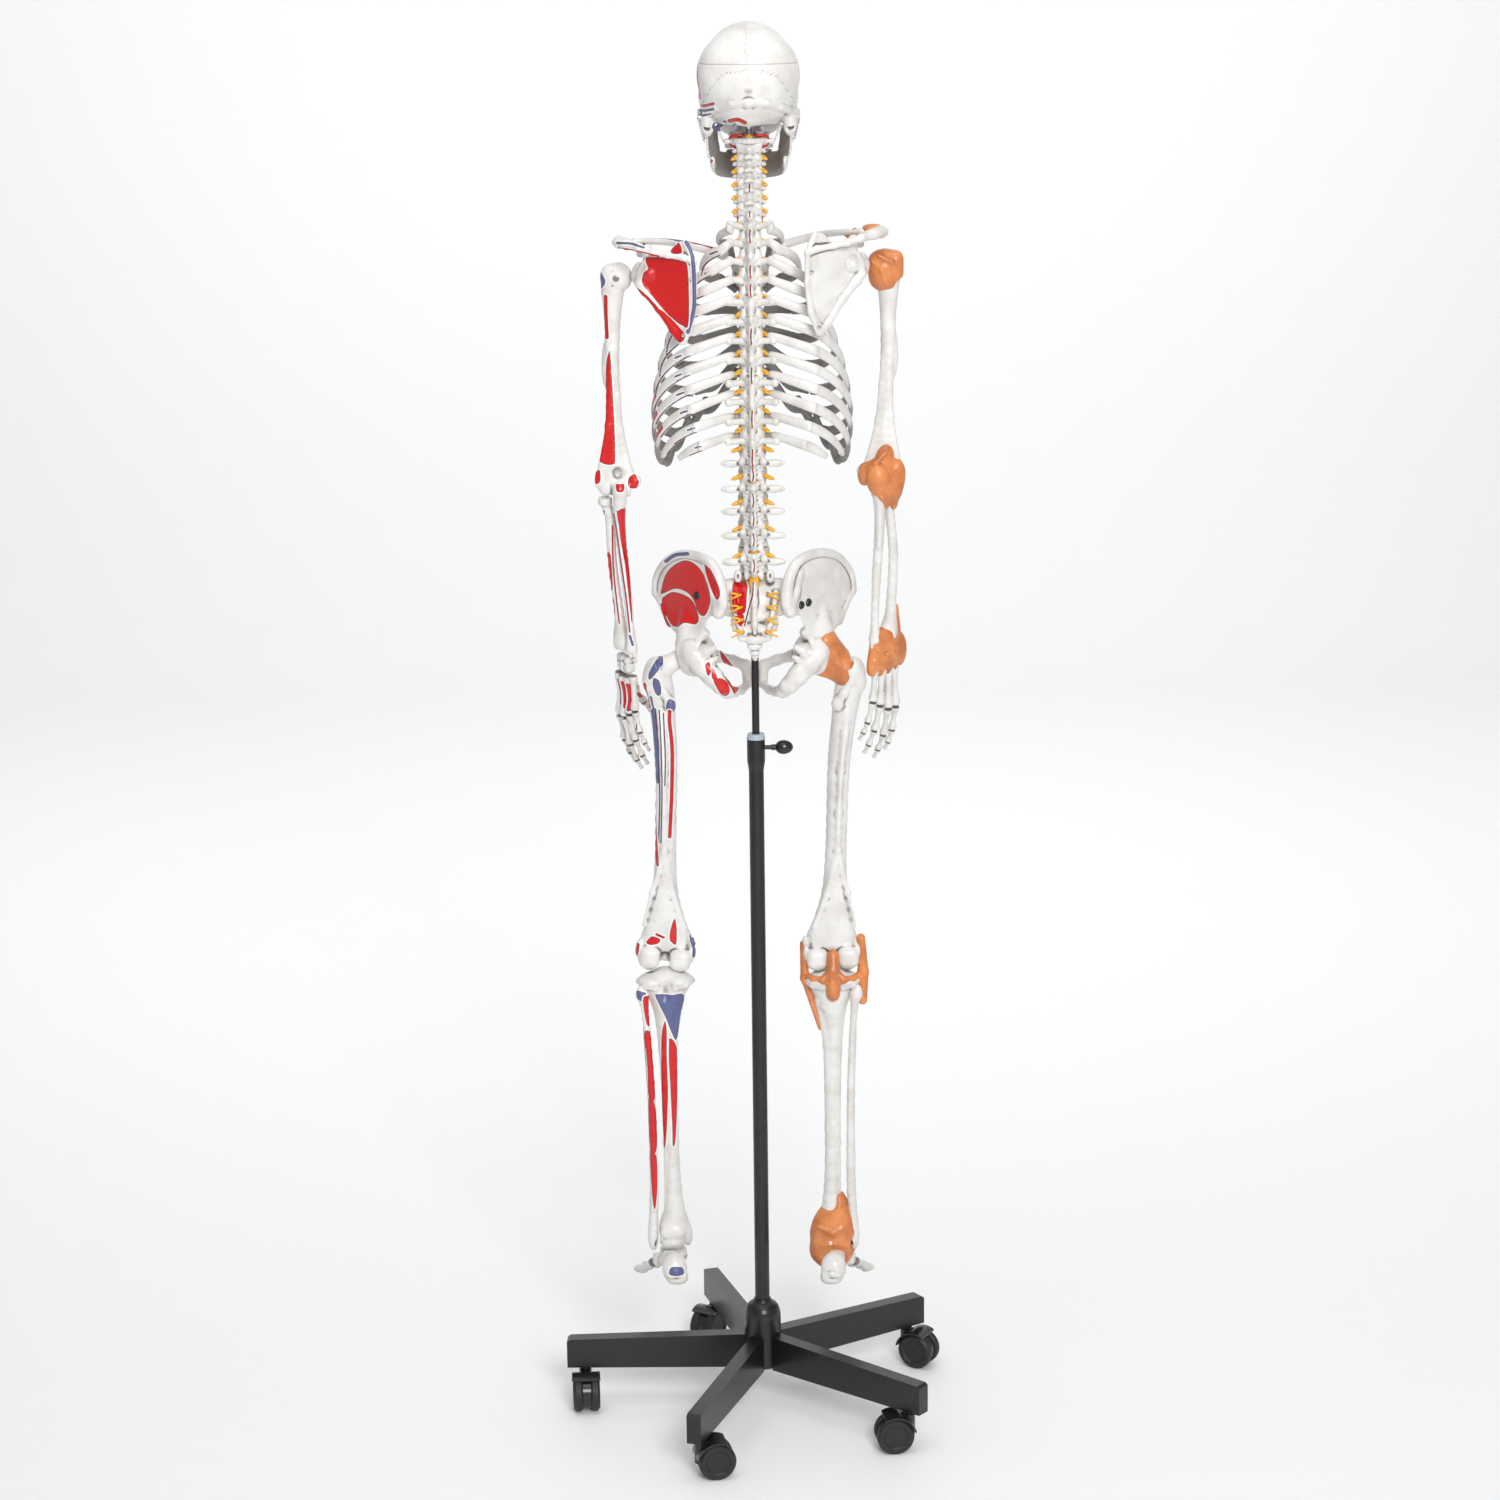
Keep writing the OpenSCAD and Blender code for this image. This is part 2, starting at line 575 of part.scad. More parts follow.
module at_wrist(side) {
    at_elbow(side) rotate([0, carry(side), 0])
        translate([ulna_end[0], ulna_end[1], -forearm_len] + wrist_reach * across(side))
        rotate([0, 0, -hand_turn[side]]) children();
}

module at_hip(side) {
    mirror([side, 0, 0]) translate(hip) rotate([0, -thigh_lean[side], 0]) children();
}

module at_knee(side) {
    at_hip(side) translate([0, 0, -thigh_len]) rotate([knee_bend, 0, 0]) children();
}

module at_ankle(side) {
    at_knee(side) rotate([0, thigh_lean[side] - shank_lean[side], 0]) translate([0, 0, -shank_len]) children();
}

// ---------- arms ----------

head_r = 22.5;
trochlea_r = 11;
slot_w = 8;

// The steel tongue that swings on the shoulder blade and carries the upper arm on a cross pin
module shoulder_bracket(side) {
    color("silver") at_shoulder(side) {
        rotate([0, arm_lean[side], 0]) translate([-22, 0, 0]) bar_x(3.6, 34);
        rotate([90, 0, 0]) cylinder(r = 6, h = slot_w - 0.8, center = true, $fn = 48);
        rotate([90, 0, 0]) cylinder(r = 2.5, h = 42, center = true, $fn = 48);
    }
}

module humerus(side) {
    color(bone) at_shoulder(side) difference() {
        union() {
            sphere(head_r, $fn = 48);
            skin([[12, -6, 2, 13], [14, 4, -2, 13], [6, -2, -24, 13]], 10);
            tube([[5, 0, -16], [5, 0, -50], [4, 0, -130], [2, 0, -200], [1, 1, -238], [0, 2, -262]],
                [[15, 14], [12, 11.5], [10.5, 10.5], [10, 9], [16, 7], [21, 6]], [0, 1, 0], 10);
            skin([[-24, 1, -264, 5], [-12, 1, -240, 4], [-10, 1, -266, 6]]);
            skin([[21, 1, -265, 5], [12, 1, -245, 4], [10, 1, -266, 6]]);
            translate([-1, 0, -upper_arm_len]) bar_x(trochlea_r, 38);
        }
        translate([-40, -slot_w / 2, -8]) cube([47, slot_w, 60]);
        rotate([90, 0, 0]) cylinder(r = 2.5 + run, h = 80, center = true, $fn = 48);
    }
}

module ulna(side) {
    notch = trochlea_r + 0.4;
    color(bone) at_elbow(side) difference() {
        union() {
            skin([[-8, 19, 6, 8], [-7, 18, -14, 8], [-4, 8, -28, 9]]);
            skin([[-4, 8, -28, 9], [-7, -9, -19, 6], [-7, 0, -20, 8]]);
            rotate([0, carry(side), 0]) tube([[-4, 7, -26], [-4, 7, -60], [-8, 6, -130], [ulna_end[0], ulna_end[1], -200],
                [ulna_end[0], ulna_end[1], -224]], [[8, 9], [6.5, 7.5], [6, 6.5], [5, 5], [7.5, 7.5]], [0, 1, 0]);
            rotate([0, carry(side), 0]) skin([[ulna_end[0], ulna_end[1], -222, 7], [ulna_end[0] - 3,
                ulna_end[1] + 3, -226, 3]]);
        }
        translate([-1, 0, 0]) bar_x(notch, 80);
        translate([-40, -24, -2]) cube([80, 24 + 7, 60]);
    }
}

module radius(side) {
    end = [ulna_end[0], ulna_end[1], -224] + radius_reach * across(side);
    color(bone) at_elbow(side) difference() {
        rotate([0, carry(side), 0]) {
            translate([14, -1, -22]) cylinder(r = 9, h = 9, $fn = 48);
            tube([[14, -1, -20], [12, -1, -40], mix([12, -1, -40], end, 0.4) + [5, -2, 0],
                mix([12, -1, -40], end, 0.8) + [2, 0, 0], end + [0, 0, 2]],
                [[6, 6], [6, 6], [6.5, 6], [8, 7.5], [13, 10]], [0, 1, 0]);
        }
        translate([-1, 0, 0]) bar_x(trochlea_r + 0.8, 80);
    }
}

function finger(base, lengths, spread, curls, i = 0) = i == len(lengths) ? [base] : concat([base],
    finger(base + lengths[i] * [sin(spread) * cos(curls[i]), -sin(curls[i]), -cos(spread) * cos(curls[i])],
        lengths, spread, curls, i + 1));

finger_bases = [[17, 1, -30], [6, 2, -31], [-5, 1, -30], [-15, -1, -27]];
finger_lengths = [[65, 39, 23, 17], [63, 43, 27, 18], [56, 40, 26, 18], [52, 32, 18, 16]];
// Left hand, then right
finger_spreads = [[5, 3, 1, 0], [5, 2, -1, -3]];
finger_curls = [[0, 10, 20, 28], [2, 14, 24, 30]];
thumb_spread = [8, 18];

// Wrist bones, palm bones and finger bones, wired together as one hand
module hand(side) {
    color(bone) at_wrist(side) {
        skin([[12, 0, -9, 8], [-10, 0, -10, 8], [15, 0, -26, 8], [-13, 0, -25, 7]]);
        for (f = [0:3]) {
            p = finger(finger_bases[f], finger_lengths[f], finger_spreads[side][f], finger_curls[side]);
            for (k = [0:3]) phalanx(p[k], p[k + 1], [6.5, 6, 5, 4][k]);
        }
        t = finger([20, -8, -22], [44, 30, 23], thumb_spread[side], [22, 30, 34]);
        for (k = [0:2]) phalanx(t[k], t[k + 1], [7, 6, 5][k]);
    }
}

// ---------- legs ----------

ball_r = 23.5;
condyle_r = 20;
talus_r = 13;

module femur(side) {
    color(bone) at_hip(side) difference() {
        union() {
            sphere(ball_r, $fn = 48);
            rotate([0, thigh_lean[side], 0]) translate([-22, 0, 0]) bar_x(2.9, 44);
            tube([[8, 0, -3], [24, 0, -10], [46, 4, -22]], [[16, 15], [13, 14], [15, 19]], [0, 1, 0.01], 10);
            skin([[50, 11, -14, 9], [54, 4, -34, 10], [46, 2, -52, 14]], 10);
            skin([[26, 13, -68, 7], [39, 3, -58, 13], [37, 1, -86, 13]]);
            tube([[44, 3, -38], [37, 0, -64], [31, -3, -100], [21, -8, -170], [15, -9, -240], [9, -6, -320],
                [5, -2, -365], [4, 0, -396]],
                [[17, 17], [16, 15], [15, 14.5], [14, 14], [13.5, 14], [16, 15], [24, 16], [33, 16]], [0, 1, 0], 10);
            translate([-20, 0, -thigh_len]) bar_x(condyle_r, 30, 64);
            translate([20, 0, -thigh_len]) bar_x(condyle_r, 30, 64);
            translate([0, -5, -thigh_len + 7]) bar_x(14, 60, 48);
        }
        translate([-6, 6, -thigh_len - 24]) cube([12, 30, 34]);
    }
}

module patella(side) {
    color(bone) at_hip(side) translate([0, -31, -thigh_len + 26])
        skin([[-11, 0, 8, 7], [11, 0, 8, 7], [0, -1, -12, 7]]);
}

module tibia(side) {
    color(bone) at_knee(side) difference() {
        rotate([0, thigh_lean[side] - shank_lean[side], 0]) {
            tube([[0, 2, -17], [0, 2, -34], [0, 1, -58], [0, -1, -110], [-1, -1, -230], [-1, 0, -330], [0, 0, -372],
                [0, 0, -shank_len + 4]], [[37, 21], [36, 21], [22, 20], [12.5, 15], [9.6, 12], [10, 10.5], [17, 14], [19, 15]],
                [0, 1, 0], 10);
            skin([[-22, 0, -372, 6], [-23, -2, -shank_len - 4, 6]]);
        }
        bar_x(condyle_r + 0.8, 120, 64);
        rotate([0, thigh_lean[side] - shank_lean[side], 0]) translate([3, 0, -shank_len]) {
            bar_x(talus_r + 0.8, 43);
            translate([0, 0, -20]) cube([43, 60, 40], center = true);
        }
    }
}

module fibula(side) {
    color(bone) at_knee(side) rotate([0, thigh_lean[side] - shank_lean[side], 0]) {
        skin([[33, 19, -38, 5], [31, 19, -50, 8], [28, 18, -62, 5]]);
        tube([[30, 18, -50], [25, 16, -120], [22, 13, -240], [24, 6, -350], [27, 4, -shank_len - 12]],
            [[6, 6], [5.5, 6], [5.5, 6], [6, 7], [5, 8]], [0, 1, 0]);
    }
}

toe_bases = [[-18, -72, -36], [-5, -74, -36], [5, -72, -38], [14, -66, -40], [21, -54, -43]];
toe_lengths = [[58, 30, 24], [70, 25, 18], [66, 23, 16], [64, 21, 15], [62, 20, 14]];
toe_spreads = [-3, 0, 3, 6, 9];
toe_rise = [-14, -2, -8];

function toe(base, lengths, spread, i = 0) = i == len(lengths) ? [base] : concat([base],
    toe(base + lengths[i] * [sin(spread) * cos(toe_rise[i]), -cos(spread) * cos(toe_rise[i]), sin(toe_rise[i])],
        lengths, spread, i + 1));

// Ankle bone, heel bone, midfoot and toes, wired together as one foot
module foot(side) {
    color(bone) at_ankle(side) {
        bar_x(talus_r, 32, 48);
        rotate([foot_drop, 0, 0]) rotate([0, 0, foot_turn]) {
            skin([[-8, 2, -14, 7], [8, 2, -14, 7], [0, -24, -14, 9], [0, -28, -22, 8]]);
            skin([[2, 40, -48, 14], [4, 38, -28, 10], [4, 0, -28, 10], [8, -32, -36, 9]]);
            skin([[-10, -44, -24, 9], [0, -50, -26, 8], [-16, -66, -30, 8], [10, -62, -34, 8], [20, -46, -42, 7]]);
            for (t = [0:4]) {
                p = toe(toe_bases[t], toe_lengths[t], toe_spreads[t]);
                for (k = [0:2]) phalanx(p[k], p[k + 1], (t == 0 ? 1.5 : 1) * [6.5, 5.5, 4.6][k]);
            }
        }
    }
}

// ---------- ligaments on the right side ----------

lig = "#e0793c";

// Part of a ball-shaped sleeve about the X axis, between two angles from the joint's inner side
module joint_sleeve(r, thick, from, to) {
    rotate([0, -90, 0]) rotate_extrude($fn = 64) polygon(concat(
        [for (k = [0:6]) let (a = mix(from, to, k / 6)) [r * sin(a), r * cos(a)]],
        [for (k = [6:-1:0]) let (a = mix(from, to, k / 6)) [(r + thick) * sin(a), (r + thick) * cos(a)]]));
}

module shoulder_ligament() {
    color(lig) at_shoulder(1) joint_sleeve(26.5, 2, 52, 65);
}

module elbow_ligament() {
    color(lig) at_elbow(1) for (s = [-1, 1]) translate([s * 31, 4, 0]) cube([2, 14, 56], center = true);
}

module wrist_ligament() {
    color(lig) at_wrist(1) translate([0, 0, -20]) linear_extrude(30) difference() {
        polygon([for (a = [0:15:345]) [33 * cos(a), 22 * sin(a)]]);
        polygon([for (a = [0:15:345]) [31.5 * cos(a), 20.5 * sin(a)]]);
    }
}

module hip_ligament() {
    color(lig) at_hip(1) rotate([0, 22, 0]) translate([27, 0, 0]) rotate([0, 90, 0]) difference() {
        cylinder(r1 = 24, r2 = 21, h = 8, $fn = 64);
        translate([0, 0, -1]) cylinder(r = 19.5, h = 10, $fn = 64);
    }
}

module knee_ligament() {
    color(lig) at_knee(1) for (s = [-1, 1]) translate([s * 41, 2, -8]) cube([2.5, 10, 70], center = true);
}

module ankle_ligament() {
    color(lig) at_ankle(1) for (s = [-1, 1]) translate([s * 38, 6, -6]) cube([2, 18, 40], center = true);
}

base_arms();
base_hub();
stand_tube();
tube_collar();
clamp_knob();
caster_hood(0);  // caster_hood_1
caster_hood(1);  // caster_hood_2
caster_hood(2);  // caster_hood_3
caster_hood(3);  // caster_hood_4
caster_hood(4);  // caster_hood_5
caster_wheels(0);  // caster_wheels_1
caster_wheels(1);  // caster_wheels_2
caster_wheels(2);  // caster_wheels_3
caster_wheels(3);  // caster_wheels_4
caster_wheels(4);  // caster_wheels_5
stand_rod();
spine_core();
vertebrae();
vertebral_discs();
sacrum();
spinal_nerves();
sternum();
costal_cartilages();
ribs();
scapula();  // left_scapula
translate([0, 0, right_shoulder_lift]) mirror([1, 0, 0]) scapula();  // right_scapula
clavicles();
hip_bone();  // left_hip_bone
mirror([1, 0, 0]) hip_bone();  // right_hip_bone
torso_fasteners();
skull();
calvarium();
mandible();
jaw_springs();
shoulder_bracket(0);  // left_shoulder_bracket
shoulder_bracket(1);  // right_shoulder_bracket
humerus(0);  // left_humerus
ulna(0);  // left_ulna
radius(0);  // left_radius
hand(0);  // left_hand
humerus(1);  // right_humerus
ulna(1);  // right_ulna
radius(1);  // right_radius
hand(1);  // right_hand
femur(0);  // left_femur
patella(0);  // left_patella
tibia(0);  // left_tibia
fibula(0);  // left_fibula
foot(0);  // left_foot
femur(1);  // right_femur
patella(1);  // right_patella
tibia(1);  // right_tibia
fibula(1);  // right_fibula
foot(1);  // right_foot
shoulder_ligament();
elbow_ligament();
wrist_ligament();
hip_ligament();
knee_ligament();
ankle_ligament();
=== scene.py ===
"""Life-size human skeleton on a roller stand. Lengths are millimetres until a mesh is made."""
import json

import bpy
import numpy as np
import openvdb
from mathutils import Matrix, Vector


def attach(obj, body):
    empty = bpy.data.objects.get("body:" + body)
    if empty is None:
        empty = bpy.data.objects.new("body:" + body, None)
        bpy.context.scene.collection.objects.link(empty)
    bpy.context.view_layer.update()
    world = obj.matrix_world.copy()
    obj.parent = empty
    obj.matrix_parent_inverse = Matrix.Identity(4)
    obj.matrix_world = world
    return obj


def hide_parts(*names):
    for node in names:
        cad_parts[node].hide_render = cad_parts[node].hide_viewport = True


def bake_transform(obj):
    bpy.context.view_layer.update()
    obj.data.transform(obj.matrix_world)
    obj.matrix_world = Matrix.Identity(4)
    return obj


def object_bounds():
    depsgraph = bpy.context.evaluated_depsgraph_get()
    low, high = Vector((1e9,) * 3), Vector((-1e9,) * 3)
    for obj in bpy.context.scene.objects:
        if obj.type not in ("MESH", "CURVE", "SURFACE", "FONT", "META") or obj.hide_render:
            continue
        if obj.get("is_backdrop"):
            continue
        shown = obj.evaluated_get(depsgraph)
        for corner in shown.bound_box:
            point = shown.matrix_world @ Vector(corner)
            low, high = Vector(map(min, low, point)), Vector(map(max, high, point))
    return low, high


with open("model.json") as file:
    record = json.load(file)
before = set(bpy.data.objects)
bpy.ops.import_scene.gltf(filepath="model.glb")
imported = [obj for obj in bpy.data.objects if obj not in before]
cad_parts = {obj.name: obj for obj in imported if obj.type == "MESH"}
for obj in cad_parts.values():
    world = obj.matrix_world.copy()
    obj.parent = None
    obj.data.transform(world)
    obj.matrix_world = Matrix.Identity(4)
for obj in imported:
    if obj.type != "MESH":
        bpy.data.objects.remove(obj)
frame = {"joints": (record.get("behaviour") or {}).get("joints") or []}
cad_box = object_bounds()
JOINT = {j["name"]: j for j in frame["joints"]}
MM = 0.001
FINE = 1.1
FAR = 60.0

# How far each bone leans outward at rest, left then right, and which way each hand is turned
THIGH_LEAN = (6.3, 2.7)
SHANK_LEAN = (-0.6, 0.0)
ARM_LEAN = (1.6, -0.6)
FOREARM_LEAN = (-1.6, 0.0)
HAND_TURN = (58.0, 42.0)
SHOULDER_LIFT = (0.0, 9.0)
ELBOW_BEND = 9.0
KNEE_BEND = 2.0
FOOT_DROP = 14.0
FOOT_TURN = 8.0
SIDES = ("left", "right")
LEFT, RIGHT = 0, 1
OUTWARD = (1, -1)

# ---------- small vector helpers ----------


def vec(*v):
    return np.array(v, float)


def unit(v):
    return v / np.linalg.norm(v)


def mix(a, b, t):
    return a + (b - a) * t


FLIP = vec(-1, 1, 1)


def named(side, part):
    """The name of a joint, body or CAD node on one side."""
    return f"{SIDES[side]}_{part}"


def joint_at(name):
    return np.array(JOINT[name]["pos_m"]) / MM


def turn(axis, degrees):
    return np.array(Matrix.Rotation(np.radians(degrees), 3, Vector(axis)))


def spline(points, count):
    """A smooth curve through the points (Catmull-Rom), as count places evenly spread in parameter."""
    p = np.array(points, float)
    ends = np.vstack([2 * p[0] - p[1], p, 2 * p[-1] - p[-2]])
    t = np.linspace(0, len(p) - 1, count)
    i = np.minimum(t.astype(int), len(p) - 2)
    f = (t - i)[:, None]
    a, b, c, d = ends[i], ends[i + 1], ends[i + 2], ends[i + 3]
    return 0.5 * (2 * b + (c - a) * f + (2 * a - 5 * b + 4 * c - d) * f**2 + (3 * b - 3 * c + d - a) * f**3)


class Place:
    """A bone's own frame: origin, turned axes, and whether it is the mirrored (right) one."""

    def __init__(self, origin=(0, 0, 0), axes=np.eye(3), mirror=False):
        self.origin = np.array(origin, float)
        self.axes = np.array(axes, float)
        self.mirror = mirror

    def out(self, p):
        q = np.asarray(p, float) @ self.axes.T + self.origin
        return q * FLIP if self.mirror else q


# ---------- clay: shapes added to and cut from a block of voxels ----------


class Clay:
    def __init__(self, low, high, step=None):
        self.step = step or FINE
        self.low = np.array(low, float) - 2 * self.step
        size = np.ceil((np.array(high, float) + 2 * self.step - self.low) / self.step).astype(int) + 1
        self.d = np.full(size, FAR, np.float32)

    def block(self, low, high):
        a = np.maximum(np.floor((np.array(low) - self.low) / self.step).astype(int), 0)
        b = np.minimum(np.ceil((np.array(high) - self.low) / self.step).astype(int) + 1, self.d.shape)
        if np.any(b <= a):
            return None, None
        axes = [self.low[k] + self.step * np.arange(a[k], b[k]) for k in range(3)]
        p = np.stack(np.meshgrid(*axes, indexing="ij"), -1).astype(np.float32)
        return tuple(slice(a[k], b[k]) for k in range(3)), p

    def put(self, shape, blend=3.0):
        low, high, field = shape
        where, p = self.block(low - blend, high + blend)
        if where is not None:
            self.d[where] = soft_min(self.d[where], field(p), blend)

    def cut(self, shape, blend=2.0):
        low, high, field = shape
        where, p = self.block(low - blend, high + blend)
        if where is not None:
            self.d[where] = -soft_min(-self.d[where], field(p), blend)

    def hollow_field(self):
        """How sunken each place is, from the field's own curvature."""
        d = np.clip(self.d, -8, 8)
        out = np.zeros_like(d)
        n = max(1, int(round(2.4 / self.step)))
        for axis in range(3):
            out += np.roll(d, n, axis) + np.roll(d, -n, axis) - 2 * d
        return out / (n * self.step)

    def mesh(self):
        grid = openvdb.FloatGrid()
        grid.background = 3.0
        grid.copyFromArray(np.clip(self.d / self.step, -3, 3).astype(np.float32))
        points, quads = grid.convertToQuads(0.0)
        sunk = sample(self.hollow_field(), points)
        return points * self.step + self.low, quads.astype(int), sunk


def sample(field, points):
    """Trilinear values of a voxel field at points given in voxel units."""
    i = np.clip(points.astype(int), 0, np.array(field.shape) - 2)
    f = points - i
    total = np.zeros(len(points))
    for corner in range(8):
        c = np.array([corner >> 2 & 1, corner >> 1 & 1, corner & 1])
        weight = np.prod(np.where(c, f, 1 - f), axis=1)
        total += weight * field[i[:, 0] + c[0], i[:, 1] + c[1], i[:, 2] + c[2]]
    return total


def soft_min(a, b, k):
    """The smaller of two distances, rounded where they are within k of each other."""
    if k <= 0:
        return np.minimum(a, b)
    h = np.clip(0.5 + 0.5 * (b - a) / k, 0, 1)
    return b + (a - b) * h - k * h * (1 - h)


# A shape is its lowest corner, its highest corner and the field of distances from its surface


def egg(centre, radii, axes=np.eye(3)):
    c, r = np.array(centre, float), np.array(radii, float)
    reach = np.abs(axes) @ r

    def field(p):
        q = (p - c) @ axes
        k0 = np.linalg.norm(q / r, axis=-1)
        k1 = np.linalg.norm(q / r**2, axis=-1)
        return (k0 - 1) * k0 / np.maximum(k1, 1e-6)

    return c - reach, c + reach, field


def ball(centre, r):
    return egg(centre, (r, r, r))


def rod(a, b, ra, rb=None):
    """A round-ended bar or cone."""
    a, b = np.array(a, float), np.array(b, float)
    rb = ra if rb is None else rb
    along = b - a
    top = max(ra, rb)

    def field(p):
        t = np.clip((p - a) @ along / (along @ along), 0, 1)
        return np.linalg.norm(p - a - t[..., None] * along, axis=-1) - (ra + (rb - ra) * t)

    return np.minimum(a, b) - top, np.maximum(a, b) + top, field


def slab(centre, half, round_r=0.0, axes=np.eye(3)):
    """A block with rounded edges."""
    c, h = np.array(centre, float), np.array(half, float) - round_r
    reach = np.abs(axes) @ (h + round_r)

    def field(p):
        q = np.abs((p - c) @ axes) - h
        return np.linalg.norm(np.maximum(q, 0), axis=-1) + np.minimum(q.max(-1), 0) - round_r

    return c - reach, c + reach, field


def drum(centre, axis, r, half, round_r=1.0):
    """A round disc or bore with its axis in any direction."""
    c, n = np.array(centre, float), unit(np.array(axis, float))
    reach = np.abs(n) * half + r

    def field(p):
        q = p - c
        s = q @ n
        across = np.linalg.norm(q - s[..., None] * n, axis=-1)
        e = np.stack([across - r + round_r, np.abs(s) - half + round_r], -1)
        return np.linalg.norm(np.maximum(e, 0), axis=-1) + np.minimum(e.max(-1), 0) - round_r

    return c - reach, c + reach, field


def limb(points, sizes, up=(0, 1, 0), count=None):
    """Shapes of an oval shaft: at each point its half-width across and its half-depth along up."""
    p = np.array(points, float)
    count = count or 3 * len(p)
    c = spline(p, count)
    s = spline([list(z) + [0] for z in sizes], count)[:, :2]
    up = np.array(up, float)
    for i in range(count - 1):
        yield oval_piece(c[i], c[i + 1], s[i], s[i + 1], up)


def oval_piece(a, b, sa, sb, up):
    """One stretch of an oval shaft, from section sa at a to section sb at b."""
    along = b - a
    length = np.linalg.norm(along)
    z = along / length
    x = unit(np.cross(z, up))
    y = np.cross(x, z)
    top = max(sa.max(), sb.max())

    def field(p):
        q = p - a
        s = q @ z
        t = np.clip(s / length, 0, 1)
        r = sa + (sb - sa) * t[..., None]
        over = s - t * length
        k = np.stack([q @ x / r[..., 0], q @ y / r[..., 1], over / r.min(-1)], -1)
        return (np.linalg.norm(k, axis=-1) - 1) * r.min(-1)

    return np.minimum(a, b) - top, np.maximum(a, b) + top, field


def puck(centre, across, deep, half, waist=0.0, round_r=1.5, axes=np.eye(3)):
    """An oval disc standing on Z, drawn in round its middle by waist."""
    c = np.array(centre, float)
    reach = np.abs(axes) @ vec(across, deep, half)

    def field(p):
        q = (p - c) @ axes
        k = np.sqrt((q[..., 0] / across) ** 2 + (q[..., 1] / deep) ** 2)
        side = (k - 1) * min(across, deep) + waist * np.clip(1 - (q[..., 2] / half) ** 2, 0, 1) + round_r
        e = np.stack([side, np.abs(q[..., 2]) - half + round_r], -1)
        return np.linalg.norm(np.maximum(e, 0), axis=-1) + np.minimum(e.max(-1), 0) - round_r

    return c - reach, c + reach, field


def add_limb(clay, points, sizes, up=(0, 1, 0), blend=2.0, count=None):
    for piece in limb(points, sizes, up, count):
        clay.put(piece, blend)


def ridge(clay, points, radii, blend=3.0):
    """A raised line of balls joined by cones."""
    for i in range(len(points) - 1):
        clay.put(rod(points[i], points[i + 1], radii[i], radii[i + 1]), blend)


def plate(outline, face, thick, y_span, blend=4.0):
    """A curved plate seen from behind: an outline in X and Z, the depth face(x, z) and thick(x, z)."""
    o = np.array(outline, float)
    low = vec(o[:, 0].min(), y_span[0], o[:, 1].min())
    high = vec(o[:, 0].max(), y_span[1], o[:, 1].max())

    def field(p):
        x, z = p[:, 0, :, 0], p[:, 0, :, 2]
        flat = outline_distance(o, np.stack([x, z], -1))
        y0 = face(x, z)
        gx, gz = np.gradient(y0, axis=0), np.gradient(y0, axis=1)
        step = abs(float(x[1, 0] - x[0, 0])) if len(x) > 1 else 1.0
        lean = 1 / np.sqrt(1 + (gx**2 + gz**2) / step**2)
        n = (p[..., 1] - y0[:, None, :]) * lean[:, None, :]
        d = np.abs(n) - thick(x, z)[:, None, :]
        return -soft_min(-d, -np.broadcast_to(flat[:, None, :], d.shape), blend)

    return low, high, field


def outline_distance(o, q):
    """Signed distance in a plane from a closed outline, negative inside."""
    best = np.full(q.shape[:-1], 1e9)
    inside = np.zeros(q.shape[:-1], bool)
    for i in range(len(o)):
        a, b = o[i], o[(i + 1) % len(o)]
        e = b - a
        w = q - a
        t = np.clip(w @ e / max(e @ e, 1e-9), 0, 1)
        best = np.minimum(best, np.linalg.norm(w - t[..., None] * e, axis=-1))
        crosses = (a[1] > q[..., 1]) != (b[1] > q[..., 1])
        x = a[0] + (q[..., 1] - a[1]) * e[0] / (e[1] if abs(e[1]) > 1e-9 else 1e-9)
        inside ^= crosses & (q[..., 0] < x)
    return np.where(inside, -best, best)


# ---------- meshes ----------


def make_mesh(name, points, faces, values=None):
    """A smooth-shaded object from millimetre points and quads or triangles, with per-point values."""
    mesh = bpy.data.meshes.new(name)
    faces = np.asarray(faces, int)
    sides = faces.shape[1]
    mesh.vertices.add(len(points))
    mesh.vertices.foreach_set("co", (np.asarray(points) * MM).astype(np.float32).ravel())
    mesh.loops.add(faces.size)
    mesh.loops.foreach_set("vertex_index", faces.ravel().astype(np.int32))
    mesh.polygons.add(len(faces))
    mesh.polygons.foreach_set("loop_start", np.arange(0, faces.size, sides, dtype=np.int32))
    mesh.polygons.foreach_set("use_smooth", np.ones(len(faces), bool))
    for key, data in (values or {}).items():
        mesh.attributes.new(key, "FLOAT", "POINT").data.foreach_set("value", np.asarray(data, np.float32))
    mesh.update(calc_edges=True)
    obj = bpy.data.objects.new(name, mesh)
    bpy.context.scene.collection.objects.link(obj)
    return obj


def normals(points, faces):
    """Each point's outward direction, from the quads round it."""
    n = np.cross(points[faces[:, 2]] - points[faces[:, 0]], points[faces[:, 3]] - points[faces[:, 1]])
    total = np.zeros_like(points)
    for k in range(4):
        np.add.at(total, faces[:, k], n)
    return total / np.maximum(np.linalg.norm(total, axis=1), 1e-9)[:, None]


def cast(clay, place=None, paint=None):
    """A clay block's points, faces and values in a place; paint adds the muscle areas, and the suture lines
    and painted shade.
    """
    p, f, sunk = clay.mesh()
    n = normals(p, f)
    red, blue, ink_and_shade = paint(p, n) if paint else [np.full(len(p), FAR)] * 3
    if place:
        p = place.out(p)
        f = f[:, ::-1] if place.mirror else f
    return p, f, {"red": red, "blue": blue, "ink_and_shade": ink_and_shade, "sunk": sunk}


